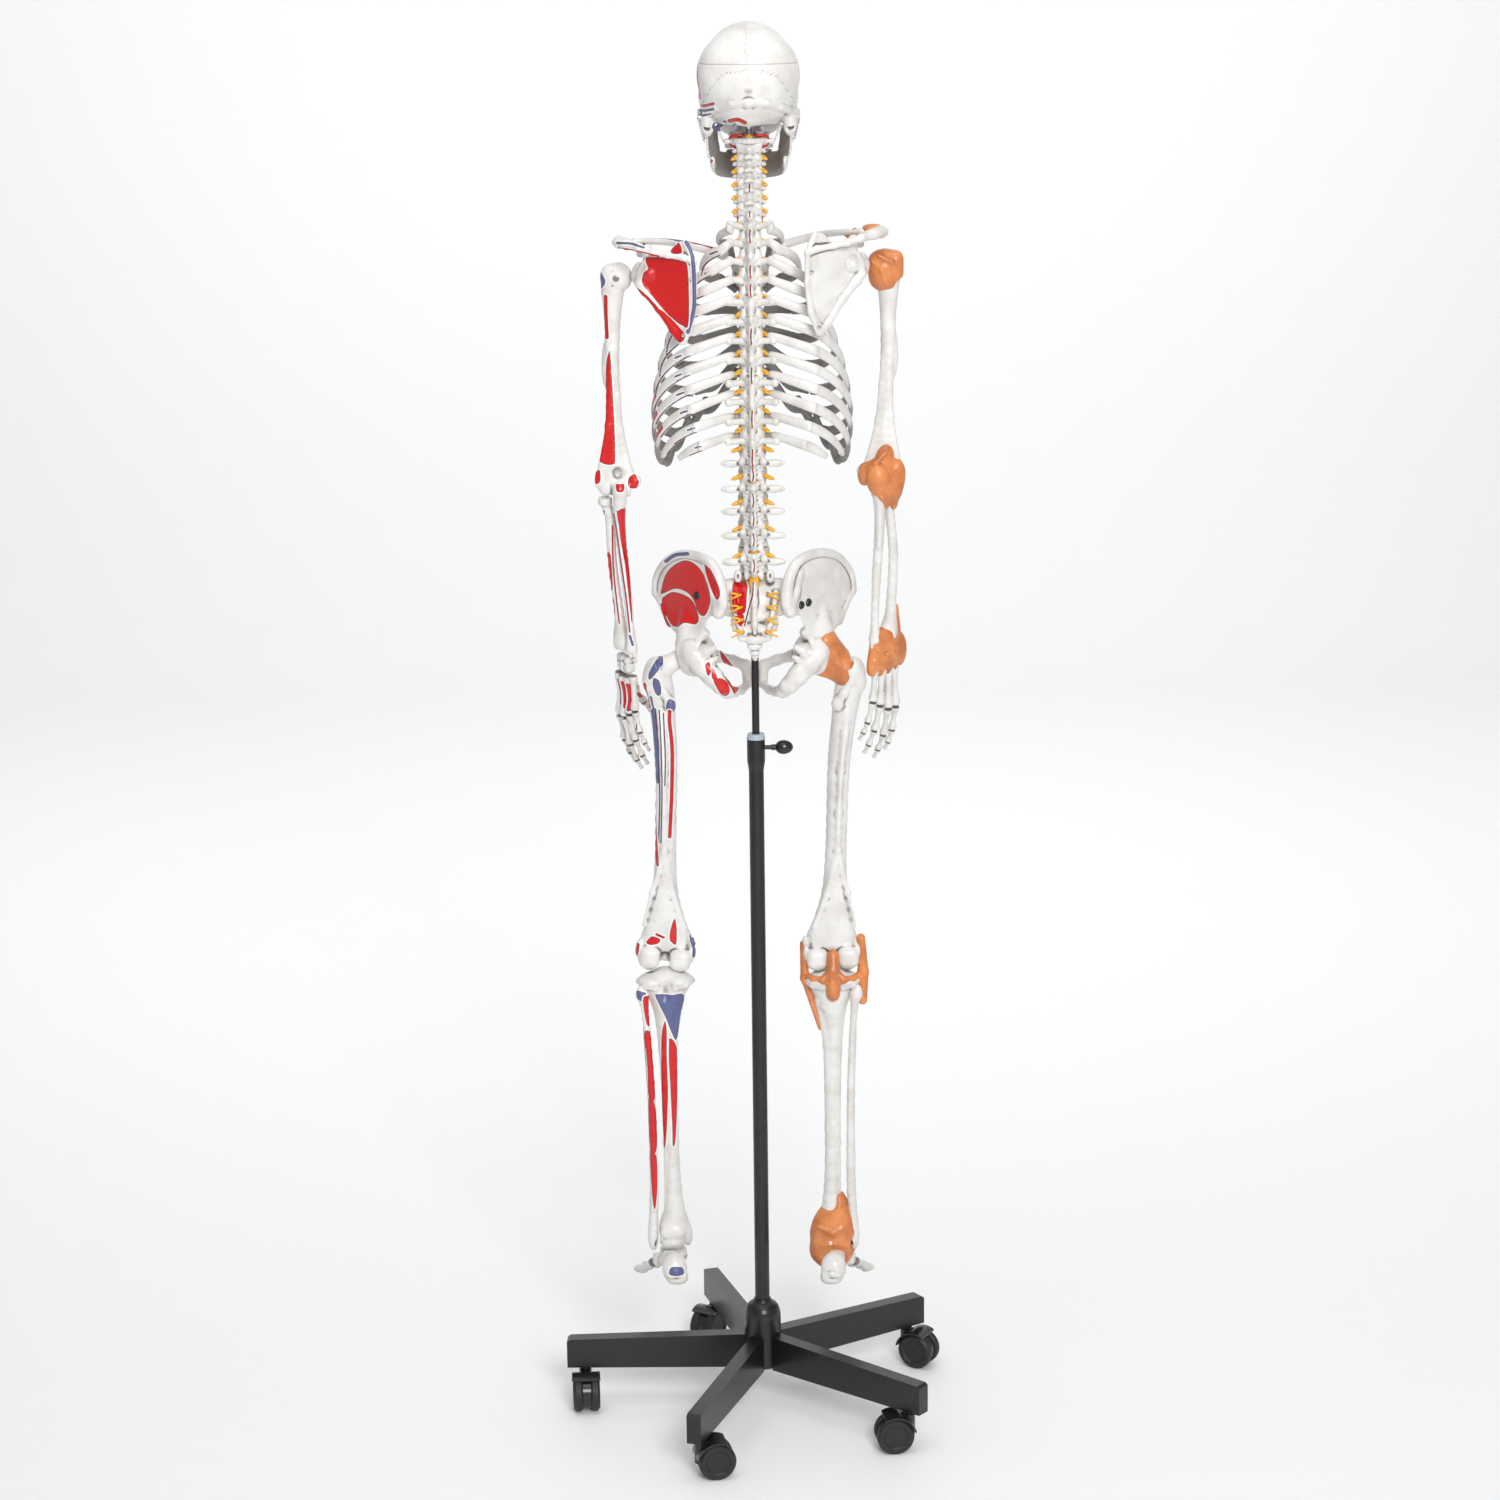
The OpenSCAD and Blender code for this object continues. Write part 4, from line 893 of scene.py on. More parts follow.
def hip_bone(side):
    c = Clay((2, -98, 988), (138, 68, 1206))
    wing = [(46, 1122), (41, 1140), (43, 1160), (49, 1180), (58, 1190), (74, 1195), (92, 1193),
            (108, 1184),
            (121, 1168), (129, 1148), (130, 1130), (122, 1112), (114, 1094), (102, 1082), (80, 1072),
            (66, 1084),
            (63, 1104), (57, 1117)]
    c.put(plate(spline(wing + wing[:1], 60)[:-1], wing_depth, wing_thickness, (-90, 68), 5), 0)
    crest = [(41, 1136), (43, 1160), (49, 1179), (58, 1190), (74, 1195), (92, 1193), (108, 1184),
             (121, 1168),
             (129, 1148), (130, 1130)]
    along = spline(crest, 37)
    rim = [(x, float(wing_depth(np.array(x), np.array(z))), z) for x, z in along]
    sizes = np.interp(np.linspace(0, 9, len(along)), range(10),
                      [6.6, 6.6, 6, 5.4, 4.8, 4.6, 4.8, 5, 5.2, 4.8])
    ridge(c, rim, sizes, 3)
    ridge(c, [(44, 46, 1128), (52, 39, 1150), (58, 33, 1172)], [5.4, 4.6, 4], 8)
    c.put(egg((46, 44, 1124), (8, 9, 7)), 6)
    ridge(c, [rim[-1], (120, -52, 1112), (112, -46, 1094)], [5, 3.5, 5.5], 5)
    c.put(egg((87, -12, 1104), (7, 7, 12)), 12)
    c.put(egg((84, -8, 1086), (19, 17, 20), turn((0, 1, 0), 10)), 9)
    c.put(ball(HIP_CENTRE, 30), 6)
    ridge(c, [(80, 8, 1064), (68, 12, 1048), (56, 15, 1034), (45, 13, 1021), (35, 4, 1011)],
          [17, 15, 13, 11, 8.5], 5)
    c.put(egg((52, 22, 1038), (8, 6.5, 16), turn((0, 1, 0), 42)), 4)
    c.put(egg((40, 18, 1022), (8, 6, 9), turn((0, 1, 0), 42)), 4)
    c.put(rod((62, 18, 1070), (54, 22, 1074), 9, 4.5), 6)
    c.put(rod((60, 16, 1054), (50, 20, 1060), 8, 2.2), 3)
    ridge(c, [(38, 4, 1011), (27, -20, 1005), (19, -48, 1001), (11, -76, 1002)], [9, 6, 5.5, 6], 5)
    ridge(c, [(70, -34, 1054), (50, -58, 1045), (30, -75, 1036), (13, -84, 1027)], [12, 7.5, 6.5, 8], 6)
    c.put(egg((11, -84, 1014), (6.5, 8, 19)), 6)
    c.put(egg((26, -84, 1036), (5, 5, 4)), 4)
    ridge(c, [(60, 28, 1090), (66, 8, 1090), (74, -20, 1078), (58, -48, 1056)], [5, 5, 5, 4], 8)
    c.cut(ball(HIP_CENTRE, SOCKET_R), 1.2)
    c.cut(slab((120, -22, 1042), (20, 52, 34), 3, turn((0, 1, 0), 12)), 3)
    c.cut(rod(HIP_CENTRE, (112, -30, 1040), 23.5), 2)
    c.cut(egg((44, -32, 1026), (14, 26, 13)), 4)
    c.cut(egg((78, 26, 1086), (26, 8, 10)), 12)
    red = (patch([(124, 1132), (117, 1158), (104, 1176), (86, 1186), (68, 1176), (57, 1146), (63, 1120),
                  (72, 1118),
                  (79, 1134), (88, 1143), (104, 1144)], "back", 0.0),
           patch([(122, 1126), (108, 1138), (90, 1138), (79, 1131), (73, 1112), (78, 1103), (93, 1103),
                  (106, 1093), (116, 1104)], "back", 0.0),
           patch([(64, 1187), (55, 1180), (45, 1158), (46, 1146), (51, 1146), (60, 1168)], "back", -0.2),
           patch([(65, 1053), (60, 1055), (58, 1044), (62, 1038)], "back", -0.3),
           patch([(57, 1048), (53, 1044), (50, 1034), (56, 1034)], "back", -0.3),
           patch([(54, 1033), (45, 1034), (36, 1026), (34, 1012), (42, 1008), (51, 1022)], "back", -0.3),
           patch([(46, 1054), (40, 1046), (28, 1026), (22, 1012), (27, 1008), (33, 1022), (43, 1040)],
                 "back", -0.4),
           stripe([(122, 1118), (118, 1100), (112, 1090)], 4, "back", -0.4),
           patch([(110, 1176), (122, 1150), (112, 1120), (80, 1110), (60, 1140), (64, 1174), (90, 1186)],
                 "front", 0.1),
           patch([(30, 1040), (44, 1046), (40, 1008), (22, 1004), (14, 1016)], "front", 0.2))
    blue = (stripe([(116, 1178), (103, 1190), (86, 1196)], 4, "back", -0.5),
            stripe([(18, 1030), (34, 1042), (50, 1050)], 4, "front", -0.4))
    side_bone(side, "hip_bone", "cast", "torso", c, Place(mirror=side == RIGHT), red, blue)


def sacrum():
    c = Clay((-54, -16, 1056), (54, 70, 1186))
    levels = [(6, 1152, 27, 17, 13), (20, 1134, 24, 14, 12), (34, 1117, 20, 12, 11),
              (44, 1101, 17, 9, 10),
              (51, 1089, 13, 7, 8)]
    for y, z, wide, deep, high in levels:
        c.put(egg((0, y, z), (wide, deep, high), turn((1, 0, 0), -35)), 4)
    c.put(puck((0, 4, 1159), 25, 16, 5, 0, 2, turn((1, 0, 0), -24)), 3)
    c.put(egg((0, 27, 1140), (30, 14, 24), turn((1, 0, 0), 25)), 6)
    for s in (-1, 1):
        c.put(egg((s * 32, 13, 1150), (17, 15, 14)), 7)
        c.put(egg((s * 32, 28, 1132), (13, 12, 16)), 7)
        c.put(egg((s * 23, 42, 1111), (8, 8, 13)), 7)
        c.put(egg((s * 17, 50, 1096), (6, 6, 9)), 5)
        c.put(egg((s * 21, 27, 1169), (5.5, 6, 9)), 4)
        c.cut(egg((s * 21, 33, 1171), (3, 3, 6)), 2)
        ridge(c, [(s * 28, 35, 1150), (s * 25, 46, 1130), (s * 20, 55, 1110), (s * 15, 59, 1098)],
              [3, 3, 3, 2.4], 4)
        for y, z, x in ((40, 1147, 18), (49, 1131, 17), (57, 1115, 15.5), (60, 1101, 14)):
            c.cut(egg((s * x, y, z), (3.4, 8, 3.8)), 2)
    bumps = [(41, 1157, 5), (48, 1142, 5.5), (55, 1127, 5), (61, 1112, 4.4)]
    for y, z, r in bumps:
        c.put(egg((0, y, z), (3.6, 5, r + 1.5)), 3)
    ridge(c, [(0, 38, 1160), (0, 46, 1140), (0, 57, 1114), (0, 58, 1100)], [3.4, 3.6, 3.2, 2.4], 4)
    for y, z, wide, high in ((53, 1081, 10, 5), (50, 1073, 7, 4.6), (46, 1067, 5, 4),
                             (41, 1062.5, 3.6, 3)):
        c.put(egg((0, y, z), (wide, 5, high)), 1.6)
    c.cut(rod((0, 0, 1090), (0, 0, 1178), 5.8), 1)
    red = (patch([(25, 1162), (10, 1160), (10, 1146), (13, 1124), (26, 1126), (29, 1148)], "back", 0.0),
           patch([(25, 1122), (15, 1122), (14, 1112), (20, 1110)], "back", 0.0),
           stripe([(1, 1170), (2, 1150), (5, 1138), (13, 1108)], 1.4, "back", -0.2))
    bone("sacrum_cast", "torso", c, None, painter(red), ("sacrum",))


# ---------- the spine: the same column that the CAD follows ----------

SPINE_BASE = 1168.0
LUMBAR = 5
THORACIC = 12
NECK = LUMBAR + THORACIC
MID_CHEST = 11
TOP = 22
UNPAINTED = (6, 8, 10, 12, 15, 18, 20, 21, 22)
CORE_BORE = 8.4
COLUMN = np.array([(1060, 34), (1120, 30), (1168, 2), (1250, -13), (1335, -2), (1440, 22), (1530, 26),
                   (1615, 8),
                   (1680, -3), (1740, 0)], float)


def column_y(z):
    return float(np.interp(z, COLUMN[:, 0], COLUMN[:, 1]))


# Level 0 is the lowest lumbar vertebra, and TOP is the second of the neck, below the atlas


def body_h(i):
    return 25 if i < LUMBAR else 22.6 - 0.38 * (i - LUMBAR) if i < NECK else 13


def disc_h(i):
    return 9 if i < LUMBAR else 3.6 if i < NECK else 3.5


def floor_of(i):
    return SPINE_BASE + sum(body_h(k) + disc_h(k) for k in range(i))


def body_r(i):
    return 21 - 0.5 * i if i < LUMBAR else 18 - 0.6 * (i - LUMBAR) if i < NECK else 10


def body_depth(i):
    return 0.8 if i < NECK else 0.85


def mid_of(i):
    z = floor_of(i) + body_h(i) / 2
    return vec(0, column_y(z), z)


def tilt_of(i):
    z = floor_of(i) + body_h(i) / 2
    return np.degrees(np.arctan((column_y(z + 14) - column_y(z - 14)) / 28))


def vertebra_place(i):
    return Place(mid_of(i), turn((1, 0, 0), -tilt_of(i)))


ATLAS_Z = floor_of(TOP) + 17


def vertebra(i):
    """One vertebra about the middle of its body: body, arch, joint facets and three processes."""
    neck, low = i >= NECK, i < LUMBAR
    r, h, d = body_r(i), body_h(i), body_depth(i)
    back = r * d
    canal = 17 if neck else 15
    c = Clay((-46, -r, -h / 2 - 28), (46, back + canal + 34, h / 2 + 14), FINE * (0.8 if neck else 0.92))
    c.put(puck((0, 0, 0), r, back, h / 2, 0.12 * r, 1.6), 0)
    arm = 4.4 if low else 2.6 if neck else 3.4
    wing = 40 if low else 23 if neck else 31 - 0.5 * (i - LUMBAR)
    for s in (-1, 1):
        root = (s * (canal / 2 + 2.5), back - 3, 3)
        bend = (s * (canal / 2 + 3.5), back + canal * 0.5, 2)
        c.put(rod(root, bend, arm + 0.6, arm), 3)
        for k in (-0.5, -0.25, 0.0, 0.25, 0.45):
            c.put(rod((s * (canal / 2 + 3), back + canal * 0.55, k * h + 1),
                      (0, back + canal + 1.5, k * h - 3),
                      3.1 if not neck else 3.3), 2.5)
        facet = (3.4, 3.2, 6.5) if not neck else (5, 4, 4.5)
        c.put(egg((s * (canal / 2 + 4), back + canal * 0.5 + 1, h / 2 + 1), facet), 3)
        c.put(egg((s * (canal / 2 + 2), back + canal * 0.72 + 2, -h / 2 - 3), facet), 3)
        if neck:
            c.put(rod((s * 9, back - 5, 0), (s * 18, back - 2, -2), 3.6, 3), 2)
            c.put(rod((s * 11, back + 6, 0), (s * (wing - 4.5), back + 3, -2), 3.6, 3), 2)
            c.cut(rod((s * 14.5, back + 1, -9), (s * 14.5, back + 1, 9), 2.6), 1)
        elif low:
            c.put(egg((s * (wing / 2 + 8), back + 8, 2), (wing / 2 - 6, 3.4, 5.2)), 4)
            c.put(egg((s * 14, back + 12, 6), (4.5, 5, 5)), 3)
        else:
            tip = (s * wing, back + 17, 4)
            c.put(rod((s * (canal / 2 + 3), back + 9, 2), tip, 4.2, 4), 3)
            c.put(egg(tip, (4.8, 5, 5.4)), 2)
            c.cut(egg((tip[0], tip[1] - 6, tip[2]), (3, 3, 3)), 1.5)
    tail = back + canal
    if low:
        c.put(slab((0, tail + 12, -4), (2.8, 13, 9), 2.6), 3)
        c.put(egg((0, tail + 22, -6), (4, 5, 9)), 3)
    elif neck:
        reach = 26 if i == TOP - 5 else 11 + 1.5 * (TOP - i == 0)
        c.put(rod((0, tail - 1, -1), (0, tail + reach, -6), 3.4, 3), 3)
        if i == TOP - 5:
            c.put(ball((0, tail + reach, -7), 4.4), 3)
        else:
            for s in (-1, 1):
                c.put(rod((0, tail + reach - 3, -5), (s * 4.5, tail + reach + 2, -7), 2.4, 2.2), 2)
    else:
        c.put(rod((0, tail - 1, 0), (0, tail + 24, -15), 4, 2.6), 3)
        c.put(rod((0, tail - 1, -6), (0, tail + 23, -18), 2.8, 2.6), 4)
        c.put(egg((0, tail + 25, -17), (3.4, 3.6, 5)), 2)
    if i < 2:
        c.cut(rod((0, 0, -20), (0, 0, 20), CORE_BORE), 0.5)
    return c


def atlas():
    c = Clay((-36, -24, -10), (36, 28, 10), FINE * 0.8)
    ring = [(18 * np.sin(a), 3 + 17 * np.cos(a), 0) for a in np.radians(np.arange(0, 361, 20))]
    ridge(c, ring, [3.2] * len(ring), 2)
    for s in (-1, 1):
        c.put(egg((s * 17, -3, 0), (7, 11, 7)), 4)
        c.put(rod((s * 18, 0, -1), (s * 29, 2, -1), 4.5, 3.6), 3)
        c.cut(rod((s * 24, 1, -10), (s * 24, 1, 10), 2.8), 1)
    c.put(ball((0, 20, 0), 4), 3)
    c.put(ball((0, -14, 0), 4), 3)
    c.put(rod((0, -9, -8), (0, -9, 6), 4.4, 3.6), 1.5)
    return c


def spine():
    """The vertebrae in four pieces, and the discs between them."""
    groups = {"lumbar": range(0, LUMBAR), "thoracic_low": range(LUMBAR, MID_CHEST),
              "thoracic_high": range(MID_CHEST, NECK), "cervical": range(NECK, TOP + 1)}
    for name, levels in groups.items():
        casts = [cast(vertebra(i), vertebra_place(i), spine_paint(i)) for i in levels]
        if name == "cervical":
            casts.append(cast(atlas(), Place((0, column_y(ATLAS_Z) + 6, ATLAS_Z))))
        replaced = ("vertebrae",) if name == "lumbar" else ()
        finish_piece(make_mesh(f"{name}_vertebrae", *joined(casts)), "torso", replaced)
    clays = []
    for i in range(TOP + 1):
        z = floor_of(i) - disc_h(i) / 2
        c = Clay((-23, -20, -6.5), (23, 20, 6.5), FINE)
        c.put(puck((0, 0, 0), body_r(i) * 0.97, body_r(i) * body_depth(i) * 0.97, disc_h(i) / 2 + 0.7,
                   -0.9, 1), 0)
        if i < 2:
            c.cut(rod((0, -column_y(z), -20), (0, -column_y(z), 20), CORE_BORE), 0.5)
        clays.append((c, Place((0, column_y(z), z))))
    join_casts("discs", "torso", clays, ("vertebral_discs",), "disc")


def join_casts(name, body, clays, replaced=(), material="bone", paint=None):
    """One piece from several clay blocks, each with its place."""
    merged = joined([cast(clay, place, paint) for clay, place in clays])
    finish_piece(make_mesh(name, *merged), body, replaced, material)


def spine_paint(i):
    """A red line on the spinous process of the levels that have one."""
    if i in UNPAINTED:
        return None
    if i < LUMBAR:
        line = [(0.4, 4), (-0.6, -4), (0.4, -12)]
    elif i >= NECK:
        line = [(0, 1), (0.4, -8)]
    else:
        line = [(0, -4), (0.6, -12), (0, -22)]
    return painter((stripe(line, 1.7, "back", 0.2),))


# ---------- ribs ----------

CHEST_HALF = 131.0
FIRST_TURN = 36.0
FULL_SWEEP = 140
SWEEP = {8: 127, 9: 118, 10: 107, 11: 80, 12: 60}
RIB_STEPS = 14


def rib_level(n):
    """The vertebra that carries rib n, counted from the lowest lumbar one."""
    return NECK - n


def rib_at(n, t):
    """A place on rib n, t from 0 at its angle to 1 at its front end; the middle ribs are the widest."""
    a = FIRST_TURN + (SWEEP.get(n, FULL_SWEEP) - FIRST_TURN) * t
    full = a / FULL_SWEEP
    wide = CHEST_HALF - 3 - 1.55 * (8.5 - n) ** 2
    deep = 98 - (8.3 - n) ** 2
    mid = -17 + 0.33 * (8 - n) ** 2
    drop = 117 - 1.75 * (8.2 - n) ** 2
    s, k = np.sin(np.radians(a)), np.cos(np.radians(a))
    fall = drop * np.sin(np.radians(90 * full)) ** 2.45
    return vec(wide * s, mid + deep * k, mid_of(rib_level(n))[2] + 5 - fall)


def rib_root(n):
    """The rib's head, neck and tubercle, beside its vertebra."""
    m, r = mid_of(rib_level(n)), body_r(rib_level(n))
    z = m[2] + (2 if n > 10 else 6)
    return [vec(r - 1, m[1] + 9, z), vec(r + 6, m[1] + 17, z + 1),
            vec(32 - 0.4 * (12 - n), m[1] + 30, z + 1)]


def rib_path(n):
    return rib_root(n) + [rib_at(n, k / RIB_STEPS) for k in range(RIB_STEPS + 1)]


def ribs(side):
    tubes = []
    for n in range(1, 13):
        path = rib_path(n)
        last = len(path) - 1
        sizes = []
        for k in range(last + 1):
            high = 4.6 if k == 0 else 3.6 if k == 1 else 5.4 if k == 2 else 6.6 if k < last - 2 else 7
            wide = 3.6 if k == 0 else 3 if k == 1 else 3.6 if k == 2 else 3.2
            if n == 1:
                high *= 0.85
            if n > 10:
                high *= 1 - 0.45 * (k / last) ** 3
            sizes.append((wide, high))
        tubes.append((path, sizes))
    # The left ribs carry the muscle paint and painted shade, the right ribs painted shade only
    paint = rib_paint if side == LEFT else rib_painted_shade
    hoses(named(side, "ribs"), "torso", tubes, ("ribs",) if side == LEFT else (), paint=paint,
          mirror=side == RIGHT,
          sides=16, count=110)


def rib_paint(p, n):
    """Red muscle lines under the ribs' angles and patches out at the side, and the painted shade of the
    front ribs' inner faces.
    """
    red, blue = np.full(len(p), FAR), np.full(len(p), FAR)
    for k in range(2, 13):
        low = stripe([(rib_at(k, t)[0], rib_at(k, t)[2] - 5.5) for t in np.linspace(0.02, 0.5, 7)], 1.5,
                     "back", -0.7)
        near = np.abs(p[:, 2] - np.interp(p[:, 0], [20, 60, 128], [rib_at(k, 0)[2], rib_at(k, 0.1)[2],
                                                                    rib_at(k, 0.5)[2]])) < 40
        d = np.full(len(p), FAR)
        d[near] = low(p[near], n[near])
        red = np.minimum(red, d)
        if 3 < k < 11:
            a = rib_at(k, 0.42)
            b = rib_at(k, 0.62)
            blob = stripe([(a[1], a[2] + 1), (b[1], b[2] + 1)], 7, "outer", 0.35)
            red = np.minimum(red, np.where(np.abs(p[:, 2] - (a[2] + b[2]) / 2) < 60, blob(p, n), FAR))
        c = rib_at(k, 0.12)
        tick = stripe([(c[0] - 5, c[2] + 3), (c[0] + 5, c[2] - 1)], 2, "back", 0.1)
        blue = np.minimum(blue, tick(p, n))
    return red, blue, rib_painted_shade(p, n)[2]


def rib_painted_shade(p, n):
    """Painted shade: the front ribs' inner faces are darker, as if in the chest's shadow."""
    far = np.full(len(p), FAR)
    ink_and_shade = 0.3 + 1.0 * np.clip(0.25 - n[:, 1], 0, 9) + 0.04 * np.clip(p[:, 1] + 5, 0, 900)
    return far, far, ink_and_shade


def sternum_at(n):
    """Where the cartilage of rib n meets the breastbone."""
    t = [0, 0.05, 0.27, 0.45, 0.61, 0.75, 0.87, 0.96][n]
    return vec(22 if n == 1 else 17, mix(-54, -112, t), mix(1572, 1416, t))


def cartilages():
    """From each rib's front end to the breastbone; ribs 8 to 10 join the one above."""
    for side in (LEFT, RIGHT):
        tubes = []
        for n in range(1, 11):
            a = rib_at(n, 1)
            b = sternum_at(n) if n < 8 else mix(rib_at(n - 1, 1), sternum_at(7), 0.12 * (11 - n))
            low = {5: 6, 6: 14, 7: 20}.get(n, 0 if n < 5 else 16)
            mid = mix(a, b, 0.45) + vec(0, -6, -low)
            tubes.append(([a, mix(a, mid, 0.5), mid, mix(mid, b, 0.5), b],
                          [(3.9, 6.4), (4, 6), (4, 5.6), (4, 5.4),
                                                                            (4, 6)]))
        hoses(named(side, "cartilages"), "torso", tubes, ("costal_cartilages",) if side == LEFT else (),
              "cartilage",
              "cartilage", mirror=side == RIGHT, sides=14, count=40)


def sternum():
    c = Clay((-28, -124, 1384), (28, -44, 1580))
    c.put(egg((0, -59, 1552), (24, 6, 25), turn((1, 0, 0), -14)), 0)
    c.put(egg((0, -56, 1564), (26, 6, 12)), 4)
    for s in (-1, 1):
        c.cut(ball((s * 18, -58, 1579), 7), 2)
        for n in range(2, 8):
            q = sternum_at(n)
            c.put(ball((s * (q[0] - 5), q[1], q[2]), 5), 3)
    c.cut(ball((0, -56, 1582), 9), 3)
    for k in range(5):
        z0, z1 = 1526 - 24 * k, 1504 - 24 * k
        y0, y1 = mix(-67, -112, (1526 - z0) / 110), mix(-67, -112, (1526 - z1) / 110)
        wide = 12 + 1.2 * k
        c.put(rod((-wide + 6, y0, z0), (-wide + 6, y1, z1), 5.2), 4)
        c.put(rod((wide - 6, y0, z0), (wide - 6, y1, z1), 5.2), 4)
        c.put(rod((0, y0, z0), (0, y1, z1), 5.2), 4)
    c.put(egg((0, -114, 1404), (5, 3.6, 13)), 3)
    bone("sternum_cast", "torso", c, replaced=("sternum",))


def nerves():
    """Nerve stubs at each level, the sacral ones, and the cord in the canal."""
    tubes = []
    for i in range(1, TOP + 1):
        r = body_r(i) * body_depth(i)
        base = vec(0, column_y(floor_of(i)) + r + 3, floor_of(i) - disc_h(i) / 2)
        reach = 20 if i <= LUMBAR else 15
        for s in (-1, 1):
            p = [base + vec(s * 4, 3, 1), base + vec(s * 10, 1.5, 0),
                 base + vec(s * (9 + reach / 2), 3, -2),
                 base + vec(s * (8 + reach), 7, -5)]
            tubes.append((p, [(3.2, 2.8), (3.1, 2.6), (3.7, 3.1), (2, 1.8)]))
            tubes.append(([p[1], p[1] + vec(s * 4, 5, 1), p[1] + vec(s * 9, 9, -1)], [(1.8, 1.6)] * 3))
    hoses("nerve_roots", "torso", tubes, ("spinal_nerves",), "nerve", "nerve", sides=10, count=12)
    branches = []
    for k in range(4):
        for s in (-1, 1):
            p = vec(s * (17 - 1.2 * k), 42 + 6.4 * k, 1147 - 15 * k)
            out = vec(s * 1.0, 0, 0)
            branches.append(([p - vec(0, 6, 0), p + out * 3, p + out * 9 + vec(0, 3, 3),
                              p + out * 16 + vec(0, 1, 2)],
                             [(1.9, 1.7), (1.9, 1.7), (1.5, 1.4), (1.1, 1)]))
            branches.append(([p + out * 2, p + out * 8 + vec(0, 3, -2), p + out * 17 + vec(0, 0, -7)],
                             [(1.7, 1.6), (1.5, 1.4), (1, 1)]))
    hoses("sacral_nerves", "torso", branches, (), "nerve", "nerve", sides=10, count=16)
    cord = [(0, column_y(z) + back_of_canal(z), z) for z in np.linspace(1150, ATLAS_Z + 8, 24)]
    hoses("spinal_cord", "torso", [(cord, [(6.6, 4.4)] * len(cord))], (), "nerve", "nerve", up=(0, 1, 0),
          sides=16,
          count=90)


def back_of_canal(z):
    """How far behind the column's line the spinal cord runs."""
    i = min(range(TOP + 1), key=lambda k: abs(mid_of(k)[2] - z))
    return body_r(i) * body_depth(i) + 9


def arteries():
    """The two vertebral arteries, up through the neck and over the atlas."""
    tubes = []
    for s in (-1, 1):
        path = [vec(s * 14.5, column_y(floor_of(NECK) - 8) + 11, floor_of(NECK) - 8)]
        for i in range(NECK + 1, TOP + 1):
            m = mid_of(i)
            path.append(vec(s * 14.5, m[1] + body_r(i) * 0.85 + 1, m[2]))
        z = ATLAS_Z
        path += [vec(s * 22, column_y(z) + 6, z - 6), vec(s * 24, column_y(z) + 7, z + 2),
                 vec(s * 20, column_y(z) + 16, z + 6), vec(s * 10, column_y(z) + 18, z + 7),
                 vec(s * 6, column_y(z) + 14, z + 8)]
        tubes.append((path, [(2.1, 2.1)] * len(path)))
    hoses("vertebral_arteries", "torso", tubes, (), "artery", "nerve", up=(0, 1, 0.1), sides=10, count=60)


# ---------- shoulder girdle ----------

SHOULDER_CENTRE = (171, 14, 1557)


def blade_depth(x, z):
    """How far back the shoulder blade's plate lies."""
    t = np.clip((x - 70) / 78, 0, 1)
    high = np.clip((z - 1482) / 120, 0, 1)
    return mix(87.0, 93.0, high) - 44 * t**1.25 - 5 * np.sin(np.pi * t)


